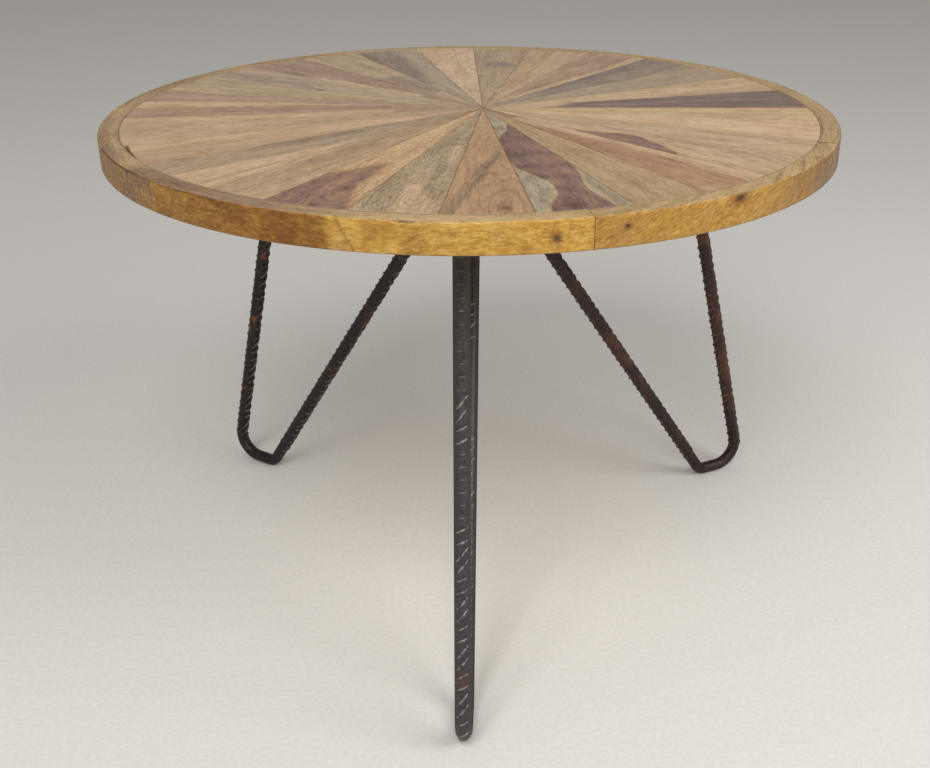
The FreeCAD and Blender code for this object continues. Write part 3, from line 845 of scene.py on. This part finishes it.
def rolled_bar(name, rust_level, rust_codes, scale_codes, rub_and_highlight, flank_grime_and_shade):
    """Hot-rolled bar: dark dull mill scale, rust where it has broken, grime and painted shade on the flanks,
    and ribs rubbed bright with a painted highlight.
    """
    material, tree = new_material("rolled_bar_" + name)
    patches, blooms, scale = object_figure(tree, BAR_FIGURE)
    place = add_node(tree, "ShaderNodeTexCoord", output="Object")
    side, crest = [add_node(tree, "ShaderNodeAttribute", output="Fac", attribute_name=mark)
                   for mark in ("side", "crest")]
    mixed = add_node(tree, "ShaderNodeMix", {0: 0.45, 2: patches, 3: blooms}, data_type="FLOAT")
    height = add_node(tree, "ShaderNodeSeparateXYZ", (place,), output=2)
    clean = add_node(tree, "ShaderNodeMapRange", (height, *FOOT_RUBBED, 0.3, 0.0))
    mixed = add_node(tree, "ShaderNodeMath", (mixed, clean), operation="SUBTRACT")
    rusted = add_node(tree, "ShaderNodeMapRange", (mixed, rust_level, rust_level + 0.1))
    rust = add_node(tree, "ShaderNodeValToRGB", (blooms,), stops=zip((0.4, 0.54, 0.68), rust_codes))
    # The flanks darken towards the outline with grime and painted shade, in near black.
    grime_and_shade_share = add_node(tree, "ShaderNodeMath", (side, flank_grime_and_shade), operation="MULTIPLY")
    # Rib crests are lightened, partly rubbed wear and partly a painted highlight.
    rib_wear_and_highlight = add_node(tree, "ShaderNodeMapRange", (scale, 0.35, 0.65, 0.0, rub_and_highlight))
    rib_wear_and_highlight = add_node(tree, "ShaderNodeMath", (rib_wear_and_highlight, crest), operation="MULTIPLY")
    colour = add_node(tree, "ShaderNodeValToRGB", (scale,), stops=zip((0.3, 0.5, 0.72), scale_codes))
    for share, other in ((rusted, rust), (grime_and_shade_share, linear("#211815")), (rib_wear_and_highlight, linear("#a39d97"))):
        colour = add_node(tree, "ShaderNodeMix", {0: share, 6: colour, 7: other}, output=2, data_type="RGBA")
    matt = add_node(tree, "ShaderNodeMath", (rusted, grime_and_shade_share), operation="MAXIMUM")
    metal = add_node(tree, "ShaderNodeMapRange", (matt, 0.0, 1.0, 0.6, 0.0))
    dull = add_node(tree, "ShaderNodeMath", (scale, 0.25, 0.32), operation="MULTIPLY_ADD")
    rough = add_node(tree, "ShaderNodeMix", {0: matt, 2: dull, 3: 0.8}, data_type="FLOAT")
    relief = add_node(tree, "ShaderNodeBump", {"Strength": 0.35, "Distance": RUST_DEPTH, "Height": blooms})
    set_inputs(tree, tree.nodes["Principled BSDF"], {
        "Base Color": colour, "Metallic": metal, "Roughness": rough, "Normal": relief})
    return material


def new_tree(name, inputs):
    """A Geometry Nodes tree that takes a seed shape and named inputs, and the sockets these come in by."""
    tree = bpy.data.node_groups.new(name, "GeometryNodeTree")
    for label, kind in {"Geometry": "Geometry", **inputs}.items():
        tree.interface.new_socket(label, in_out="INPUT", socket_type="NodeSocket" + kind)
    tree.interface.new_socket("Geometry", in_out="OUTPUT", socket_type="NodeSocketGeometry")
    return tree, add_node(tree, "NodeGroupInput", output=None)


def end_tree(tree, shape, finish):
    """Ends a tree: its instances are made real and get their material."""
    real = add_node(tree, "GeometryNodeRealizeInstances", (shape,))
    finished = add_node(tree, "GeometryNodeSetMaterial", {0: real, "Material": finish})
    add_node(tree, "NodeGroupOutput", (finished,), output=None)


# The bar's tree bends a path of four points, sweeps the bar along it, and sets ribs on it at their pitch.
RIB_INPUTS = ("Lowest rib", "Rib half width", "Rib height", "Rib sweep")
tree, given = new_tree("ribbed_bar", {
    "Plane normal": "Vector", "Finish": "Material",
    **dict.fromkeys((*BAR_SIZES, *RIB_INPUTS, *FRONT_PLAIN_STRETCHES), "Float")})
index = add_node(tree, "GeometryNodeInputIndex")
bend = 0.0
for corner, label in ((1.0, "Outer bend radius"), (2.0, "Inner bend radius")):
    here = add_node(tree, "ShaderNodeMath", (index, corner, 0.5), operation="COMPARE")
    bend = add_node(tree, "ShaderNodeMath", (here, given[label], bend), operation="MULTIPLY_ADD")
line = add_node(tree, "GeometryNodeMeshToCurve", (given["Geometry"],))
bent = add_node(tree, "GeometryNodeFilletCurve", {
    "Curve": line, "Count": BEND_STEPS, "Radius": bend}, mode="POLY")
path = add_node(tree, "GeometryNodeSetCurveNormal", {"Curve": bent, "Normal": given["Plane normal"]},
                mode="FREE")

# The round section, with a plain rib raised where it reaches furthest to either side.
circle = add_node(tree, "GeometryNodeCurvePrimitiveCircle", {
    "Resolution": BAR_STEPS_ROUND, "Radius": given["Bar radius"]})
spot = add_node(tree, "GeometryNodeInputPosition")
sideways, _, height = add_node(tree, "ShaderNodeSeparateXYZ", (spot,), output=None)
side = add_node(tree, "ShaderNodeMath", (sideways,), operation="ABSOLUTE")
side = add_node(tree, "ShaderNodeMath", (side, given["Bar radius"]), operation="DIVIDE")
crest = add_node(tree, "ShaderNodeMapRange", (side, PLAIN_RIB_FROM, 1.0), interpolation_type="SMOOTHSTEP")
crest = add_node(tree, "ShaderNodeMath", (crest, given["Long rib height"]), operation="MULTIPLY")
way = add_node(tree, "ShaderNodeVectorMath", (spot,), operation="NORMALIZE")
lift = add_node(tree, "ShaderNodeVectorMath", {0: way, "Scale": crest}, operation="SCALE")
# The flank share, which the bar's material darkens with grime and painted shade.
flank = add_node(tree, "ShaderNodeMapRange", (side, *BAR_FLANK))
marked = add_node(tree, "GeometryNodeStoreNamedAttribute", {
    "Geometry": circle, "Name": "side", "Value": flank}, data_type="FLOAT", domain="POINT")
profile = add_node(tree, "GeometryNodeSetPosition", {"Geometry": marked, "Offset": lift})
bar = add_node(tree, "GeometryNodeCurveToMesh", {"Curve": path, "Profile Curve": profile, "Fill Caps": True})

# The ribs: arcs sunk into the bar, thick in the middle and thin at their ends, one for each sort.
sink = add_node(tree, "ShaderNodeMath", (given["Rib half width"], given["Rib height"]), operation="SUBTRACT")
rib_radius = add_node(tree, "ShaderNodeMath", (given["Bar radius"], sink), operation="SUBTRACT")
half_pitch = add_node(tree, "ShaderNodeMath", (given["Rib pitch"], 0.5), operation="MULTIPLY")
other_side = add_node(tree, "ShaderNodeCombineXYZ", {2: half_pitch})
swell = add_node(tree, "GeometryNodeSplineParameter")
for operation, *numbers in (("MULTIPLY", math.pi), ("SINE",), ("MAXIMUM", RIB_THINNEST), ("POWER", 0.5)):
    swell = add_node(tree, "ShaderNodeMath", (swell, *numbers), operation=operation)
stub = add_node(tree, "GeometryNodeCurvePrimitiveCircle", {
    "Resolution": RIB_STEPS_ROUND, "Radius": given["Rib half width"]})
ribs = []
for sweep_share, slope, on_both_sides, wear_and_highlight in RIB_SORTS:
    sweep = add_node(tree, "ShaderNodeMath", (given["Rib sweep"], sweep_share), operation="MULTIPLY")
    first = add_node(tree, "ShaderNodeMath", (sweep, -0.5, math.pi / 2), operation="MULTIPLY_ADD")
    crescent = add_node(tree, "GeometryNodeCurveArc", {
        "Resolution": RIB_STEPS_ALONG, "Radius": rib_radius, "Start Angle": first, "Sweep Angle": sweep})
    rake = add_node(tree, "ShaderNodeMath", (sideways, slope), operation="MULTIPLY")
    rake = add_node(tree, "ShaderNodeCombineXYZ", {2: rake})
    raked = add_node(tree, "GeometryNodeSetPosition", {"Geometry": crescent, "Offset": rake})
    rib = add_node(tree, "GeometryNodeCurveToMesh", {
        "Curve": raked, "Profile Curve": stub, "Scale": swell, "Fill Caps": True})
    if on_both_sides:
        mate = add_node(tree, "GeometryNodeTransform", {
            "Geometry": rib, "Translation": other_side, "Rotation": (0.0, 0.0, math.pi)})
        rib = add_node(tree, "GeometryNodeJoinGeometry", {0: [rib, mate]})
    # Each rib carries its share of rubbed wear and painted highlight.
    ribs.append(add_node(tree, "GeometryNodeStoreNamedAttribute", {
        "Geometry": rib, "Name": "crest", "Value": wear_and_highlight}, data_type="FLOAT", domain="POINT"))

# Where each sort goes: two steep and two gentle in turn, and the low short bars on the plain stretches.
points = add_node(tree, "GeometryNodeCurveToPoints", {"Curve": path, "Length": given["Rib pitch"]},
                  output=None, mode="LENGTH")
plain = 0.0
for stretch in ("Upper plain", "Lower plain"):
    over = add_node(tree, "ShaderNodeMath", (height, given[stretch + " low"]), operation="GREATER_THAN")
    under = add_node(tree, "ShaderNodeMath", (height, given[stretch + " high"]), operation="LESS_THAN")
    plain = add_node(tree, "ShaderNodeMath", (over, under, plain), operation="MULTIPLY_ADD")
raised = add_node(tree, "ShaderNodeMath", (height, given["Lowest rib"]), operation="GREATER_THAN")
ribbed = add_node(tree, "ShaderNodeMath", (raised, plain), operation="SUBTRACT")
turn = add_node(tree, "ShaderNodeMath", (index, RIB_SET), operation="MODULO")
chosen = []
for operation in ("LESS_THAN", "GREATER_THAN"):
    half_set = add_node(tree, "ShaderNodeMath", (turn, (RIB_SET - 1) / 2), operation=operation)
    chosen.append(add_node(tree, "ShaderNodeMath", (half_set, ribbed), operation="MULTIPLY"))
placed = [bar]
for rib, selection in zip(ribs, (*chosen, plain)):
    placed.append(add_node(tree, "GeometryNodeInstanceOnPoints", {
        "Points": points["Points"], "Rotation": points["Rotation"],
        "Selection": selection, "Instance": rib}))
whole = add_node(tree, "GeometryNodeJoinGeometry", {0: placed})
end_tree(tree, whole, given["Finish"])
bar_tree = tree


def grown(name, seed_vertices, seed_edges, tree, values):
    """A plain mesh piece from a Geometry Nodes tree, with the tree's named inputs set."""
    mesh = bpy.data.meshes.new(name)
    mesh.from_pydata(seed_vertices, seed_edges, [])
    piece = bpy.data.objects.new(name, mesh)
    bpy.context.scene.collection.objects.link(piece)
    modifier = piece.modifiers.new("growth", "NODES")
    modifier.node_group = tree
    for socket in tree.interface.items_tree:
        if socket.in_out == "INPUT" and socket.name in values:
            modifier[socket.identifier] = values[socket.name]
    evaluated = piece.evaluated_get(bpy.context.evaluated_depsgraph_get())
    result = bpy.data.meshes.new_from_object(evaluated)
    piece.modifiers.remove(modifier)
    piece.data = result
    return piece


def cut_away(shape, point, outward):
    """Cuts a shape along a plane, takes off what is beyond it and closes the cut."""
    everything = shape.verts[:] + shape.edges[:] + shape.faces[:]
    cut = bmesh.ops.bisect_plane(shape, geom=everything, plane_co=point, plane_no=outward, clear_outer=True,
                                 dist=CUT_TOLERANCE)
    edges = [item for item in cut["geom_cut"] if isinstance(item, bmesh.types.BMEdge)]
    bmesh.ops.holes_fill(shape, edges=edges, sides=0)


leg_names = list(LEG_AZIMUTHS)
for place, name in enumerate(leg_names):
    azimuth = math.radians(LEG_AZIMUTHS[name])
    ahead = (LEG_AZIMUTHS[leg_names[(place + 1) % 3]] - LEG_AZIMUTHS[name]) % 360
    behind = (LEG_AZIMUTHS[name] - LEG_AZIMUTHS[leg_names[place - 1]]) % 360
    outward = Vector((math.cos(azimuth), math.sin(azimuth), 0.0))
    outer_foot = outward * LEG_FOOT_RADIUS + Vector((0, 0, LEG_FOOT_LEVEL))
    inner_foot = outer_foot - outward * LEG_FOOT_LENGTH
    outer_seat = outward * LEG_TOP_RADIUS + Vector((0, 0, PLATE_LEVEL))
    inner_seat = Vector((0, 0, PLATE_LEVEL))
    outer_end = outer_seat + (outer_seat - outer_foot).normalized() * LEG_OVERRUN
    inner_end = inner_seat + (inner_seat - inner_foot).normalized() * LEG_OVERRUN
    values = dict(BAR_SIZES)
    values["Plane normal"] = Vector((-math.sin(azimuth), math.cos(azimuth), 0.0))
    *rib_sizes, rib_degrees = LEG_RIBS[name]
    for label, size in zip(RIB_INPUTS, rib_sizes):
        values[label] = size * MILLIMETRE
    values["Rib sweep"] = math.radians(rib_degrees)
    values["Finish"] = rolled_bar(name, *LEG_FINISHES[name])
    if name == "front":
        values.update(FRONT_PLAIN_STRETCHES)
    leg = grown(name + "_bent_bar", [outer_end, outer_foot, inner_foot, inner_end], [(0, 1), (1, 2), (2, 3)],
                bar_tree, values)
    shape = bmesh.new()
    shape.from_mesh(leg.data)
    cut_away(shape, Vector((0, 0, PLATE_LEVEL)), Vector((0, 0, 1)))
    for mitre, hand in ((azimuth + math.radians(ahead) / 2, 1), (azimuth - math.radians(behind) / 2, -1)):
        cut_away(shape, Vector(), Vector((-math.sin(mitre), math.cos(mitre), 0.0)) * hand)
    close_shape(shape, leg.data)
    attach(leg, "root")
    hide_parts(name + "_leg")


# Plates: flat strips and a round hub of 4 mm hot-rolled steel under the board, drilled for the wood screws.
# The mill scale is left on, so they are blue-grey and dull, with scuffs where they were handled.
PLATE_SPECK_DEPTH = 0.1 * MILLIMETRE

# Millimetres across, detail and roughness: clouds of scale, then specks.
PLATE_FIGURE = ((12.5, 4.0, 0.5), (1.11, 2.0, 0.5))

# Hot-rolled plate: clouds of scale and rolled-in specks, with a sheen that comes and goes with the clouds.
scaled_plate, tree = new_material("hot_rolled_plate")
clouds, specks = object_figure(tree, PLATE_FIGURE)
scale = add_node(tree, "ShaderNodeMix", {0: 0.3, 2: clouds, 3: specks}, data_type="FLOAT")
colour = add_node(tree, "ShaderNodeValToRGB", (scale,),
                  stops=((0.35, "#2c2d30"), (0.5, "#45464a"), (0.68, "#63615f")))
rough = add_node(tree, "ShaderNodeMapRange", (clouds, 0.3, 0.7, 0.62, 0.4))
relief = add_node(tree, "ShaderNodeBump", {"Strength": 0.3, "Distance": PLATE_SPECK_DEPTH, "Height": specks})
set_inputs(tree, tree.nodes["Principled BSDF"], {
    "Base Color": colour, "Roughness": rough, "Normal": relief, "Metallic": 0.8})
for name in ("front_leg_plate", "right_leg_plate", "left_leg_plate", "hub_plate"):
    dress(name, scaled_plate)


# Welds: a bead run by hand round each bar where it meets its plate, laid in overlapping ripples.
# The three inner bars share one bead at the hub.
WELD_STEPS_ROUND = 96
WELD_STEPS_SECTION = 12
WELD_RIPPLES = 19
WELD_RIPPLE_HEIGHT = 0.1
WELD_UNEVEN = 0.12
WELD_UNEVEN_PACE = 3
WELD_RADIUS = 2.5 * MILLIMETRE
WELD_SUNK = 0.6 * MILLIMETRE
WELD_GAP = 0.8 * MILLIMETRE
BAR_LEAN = math.atan2(LEG_FOOT_RADIUS - LEG_TOP_RADIUS, PLATE_LEVEL - LEG_FOOT_LEVEL)
HUB_BEAD_RADIUS = 7.6 * MILLIMETRE


def weld_bead(name, centre, azimuth, along_radius, across_radius, material):
    """A rippled ring of weld, flat where it lies against the plate."""
    vertices = []
    for step in range(WELD_STEPS_ROUND):
        turn = math.tau * step / WELD_STEPS_ROUND
        ripple = 1.0 + WELD_RIPPLE_HEIGHT * abs(math.sin(WELD_RIPPLES * turn / 2))
        ripple += WELD_UNEVEN * noise.noise(Vector((WELD_UNEVEN_PACE * turn, azimuth, 0)))
        swell = WELD_RADIUS * ripple
        for place in range(WELD_STEPS_SECTION):
            angle = math.tau * place / WELD_STEPS_SECTION
            spread = 1.0 + swell * math.cos(angle) / along_radius
            flat = Vector((along_radius * math.cos(turn), across_radius * math.sin(turn))) * spread
            x = flat.x * math.cos(azimuth) - flat.y * math.sin(azimuth)
            y = flat.x * math.sin(azimuth) + flat.y * math.cos(azimuth)
            drop = min(swell * math.sin(angle) - WELD_SUNK, 0.0)
            vertices.append((centre.x + x, centre.y + y, PLATE_LEVEL + drop))
    faces = grid_faces(WELD_STEPS_ROUND, WELD_STEPS_SECTION, rows_close=True, columns_close=True)
    bead = make_piece(name, vertices, faces, material)
    for face in bead.data.polygons:
        face.use_smooth = True
    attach(bead, "root")


bead_steel = rolled_bar("weld", *LEG_FINISHES["front"])
for name, degrees in LEG_AZIMUTHS.items():
    azimuth = math.radians(degrees)
    seat = Vector((math.cos(azimuth), math.sin(azimuth), 0.0)) * LEG_TOP_RADIUS
    weld_bead(name + "_weld_bead", seat, azimuth, BAR_RADIUS / math.cos(BAR_LEAN) + WELD_GAP,
              BAR_RADIUS + WELD_GAP, bead_steel)
weld_bead("hub_weld_bead", Vector((0, 0, 0)), 0.0, HUB_BEAD_RADIUS, HUB_BEAD_RADIUS, bead_steel)


# Screws: round-headed wood screws of zinc-plated steel with a cross recess, driven up through the plates
# into the board. Six hold the leg plates and three the hub.
SCREW_SIZES = {
    "Head radius": 4.2 * MILLIMETRE,
    "Head height": 3.0 * MILLIMETRE,
    "Shank radius": 2.0 * MILLIMETRE,
    "Shank length": 8.5 * MILLIMETRE,
    "Point length": 3.0 * MILLIMETRE,
    "Recess width": 1.0 * MILLIMETRE,
    "Recess length": 4.4 * MILLIMETRE,
    "Recess depth": 1.5 * MILLIMETRE,
}
SCREW_STEPS_ROUND = 20
HEAD_STEPS_ROUND = 28
HEAD_STEPS_DOWN = 14
SCREW_SEED = 7

# How far a leg plate's screws are from its bar, inwards and outwards, and the hub's screws from its middle.
LEG_SCREW_REACH = 26.0 * MILLIMETRE
HUB_SCREW_RADIUS = 36.0 * MILLIMETRE

# Millimetres across, detail and roughness of the wear.
ZINC_FIGURE = ((2.0, 3.0, 0.5),)

# Bright zinc plating over steel: pale, slightly blue and finely worn.
zinc, tree = new_material("zinc_plated_steel")
[wear] = object_figure(tree, ZINC_FIGURE)
colour = add_node(tree, "ShaderNodeValToRGB", (wear,),
                  stops=((0.35, "#7d7f80"), (0.55, "#a7a9aa"), (0.7, "#c0c1bf")))
rough = add_node(tree, "ShaderNodeMapRange", (wear, 0.3, 0.7, 0.45, 0.28))
set_inputs(tree, tree.nodes["Principled BSDF"], {"Base Color": colour, "Roughness": rough, "Metallic": 1.0})

# The screws' tree makes one screw, from a ball that loses its upper half and a cross, a shank and a point.
# It sets one at each place, turned by chance.
tree, given = new_tree("wood_screws", {
    "Finish": "Material", "Seed": "Int", **dict.fromkeys(SCREW_SIZES, "Float")})
ball = add_node(tree, "GeometryNodeMeshUVSphere", {
    "Segments": HEAD_STEPS_ROUND, "Rings": HEAD_STEPS_DOWN, "Radius": 1.0})
domed = add_node(tree, "ShaderNodeCombineXYZ", (
    given["Head radius"], given["Head radius"], given["Head height"]))
ball = add_node(tree, "GeometryNodeTransform", {"Geometry": ball, "Scale": domed})

# Sizes and levels that follow from the others: the block that takes off the ball's upper half is three head
# radii wide, and the recess is cut with blocks twice as tall as it is deep, set at the top of the head.
block_width, block_level, shank_level, recess_height, recess_level = [
    add_node(tree, "ShaderNodeMath", (given[label], share), operation="MULTIPLY")
    for label, share in (("Head radius", 3.0), ("Head radius", 0.5), ("Shank length", 0.5),
                         ("Recess depth", 2.0), ("Head height", -1.0))]
cutters = []
for width, depth, tall, level in (
        (block_width, block_width, given["Head radius"], block_level),
        (given["Recess width"], given["Recess length"], recess_height, recess_level),
        (given["Recess length"], given["Recess width"], recess_height, recess_level)):
    size = add_node(tree, "ShaderNodeCombineXYZ", (width, depth, tall))
    block = add_node(tree, "GeometryNodeMeshCube", {"Size": size})
    lift = add_node(tree, "ShaderNodeCombineXYZ", {2: level})
    cutters.append(add_node(tree, "GeometryNodeTransform", {"Geometry": block, "Translation": lift}))
parts = [add_node(tree, "GeometryNodeMeshBoolean", {"Mesh 1": ball, "Mesh 2": cutters},
                  operation="DIFFERENCE", solver="EXACT")]
for kind, radius, length, level in (
        ("GeometryNodeMeshCylinder", "Radius", given["Shank length"], shank_level),
        ("GeometryNodeMeshCone", "Radius Bottom", given["Point length"], given["Shank length"])):
    turned = add_node(tree, kind, {
        "Vertices": SCREW_STEPS_ROUND, radius: given["Shank radius"], "Depth": length})
    lift = add_node(tree, "ShaderNodeCombineXYZ", {2: level})
    parts.append(add_node(tree, "GeometryNodeTransform", {"Geometry": turned, "Translation": lift}))
screw = add_node(tree, "GeometryNodeJoinGeometry", {0: parts})
spin = add_node(tree, "FunctionNodeRandomValue", {3: math.tau, "Seed": given["Seed"]}, output=1,
                data_type="FLOAT")
spin = add_node(tree, "ShaderNodeCombineXYZ", {2: spin})
placed = add_node(tree, "GeometryNodeInstanceOnPoints", {
    "Points": given["Geometry"], "Instance": screw, "Rotation": spin})
end_tree(tree, placed, given["Finish"])
screw_tree = tree

leg_places = []
for degrees in LEG_AZIMUTHS.values():
    azimuth = math.radians(degrees)
    for radius in (LEG_TOP_RADIUS - LEG_SCREW_REACH, LEG_TOP_RADIUS + LEG_SCREW_REACH):
        leg_places.append((radius * math.cos(azimuth), radius * math.sin(azimuth), PLATE_LEVEL))
hub_places = []
ordered = sorted(LEG_AZIMUTHS.values())
for place, degrees in enumerate(ordered):
    azimuth = math.radians(degrees + ((ordered[(place + 1) % 3] - degrees) % 360) / 2)
    hub_places.append((
        HUB_SCREW_RADIUS * math.cos(azimuth), HUB_SCREW_RADIUS * math.sin(azimuth), PLATE_LEVEL))
for name, places in (("leg_plate_screws", leg_places), ("hub_plate_screws", hub_places)):
    values = dict(SCREW_SIZES)
    values["Finish"] = zinc
    values["Seed"] = SCREW_SEED
    screws = grown("cross_head_" + name, places, [], screw_tree, values)
    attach(screws, "root")
    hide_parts(name)


# Floor and light: a plain pale floor that runs past the frame, an even pale surround and two large soft
# lamps, one high in front on the left and a weaker one on the right.
FLOOR_HALF_WIDTH = 9.0
SURROUND_STRENGTH = 0.38
LAMP_SIZE = 1.6
LAMP_AIM = Vector((0, 0, 0.3))

# Millimetres across, detail and roughness of the floor's grit.
FLOOR_FIGURE = ((3.85, 2.0, 0.5),)

# Each lamp's place in metres and its power in watts.
LAMPS = {"key_lamp": (Vector((-0.5, -2.1, 2.4)), 54.0), "fill_lamp": (Vector((1.9, -1.2, 1.8)), 34.0)}

# Matt paint with a faint grit, so that the floor isn't quite even.
floor_paint, tree = new_material("pale_floor")
[grit] = object_figure(tree, FLOOR_FIGURE)
paint = add_node(tree, "ShaderNodeValToRGB", (grit,), stops=((0.3, "#dedbd6"), (0.7, "#e6e3de")))
set_inputs(tree, tree.nodes["Principled BSDF"], {"Base Color": paint, "Roughness": 0.85})
floor_corners = [(x * FLOOR_HALF_WIDTH, y * FLOOR_HALF_WIDTH, 0)
                 for x, y in ((-1, -1), (1, -1), (1, 1), (-1, 1))]
floor = make_piece("studio_floor", floor_corners, [(0, 1, 2, 3)], floor_paint)

world = bpy.data.worlds.new("studio")
world.use_nodes = True
set_inputs(world.node_tree, world.node_tree.nodes["Background"], {
    "Color": linear("#f1efec"), "Strength": SURROUND_STRENGTH})
bpy.context.scene.world = world
for name, (spot, power) in LAMPS.items():
    lamp = bpy.data.objects.new(name, bpy.data.lights.new(name, "AREA"))
    lamp.data.shape = "SQUARE"
    lamp.data.size = LAMP_SIZE
    lamp.data.energy = power
    aim = LAMP_AIM - spot
    lamp.matrix_world = Matrix.Translation(spot) @ aim.to_track_quat("-Z", "Y").to_matrix().to_4x4()
    bpy.context.scene.collection.objects.link(lamp)

bpy.context.scene.view_settings.view_transform = "Standard"
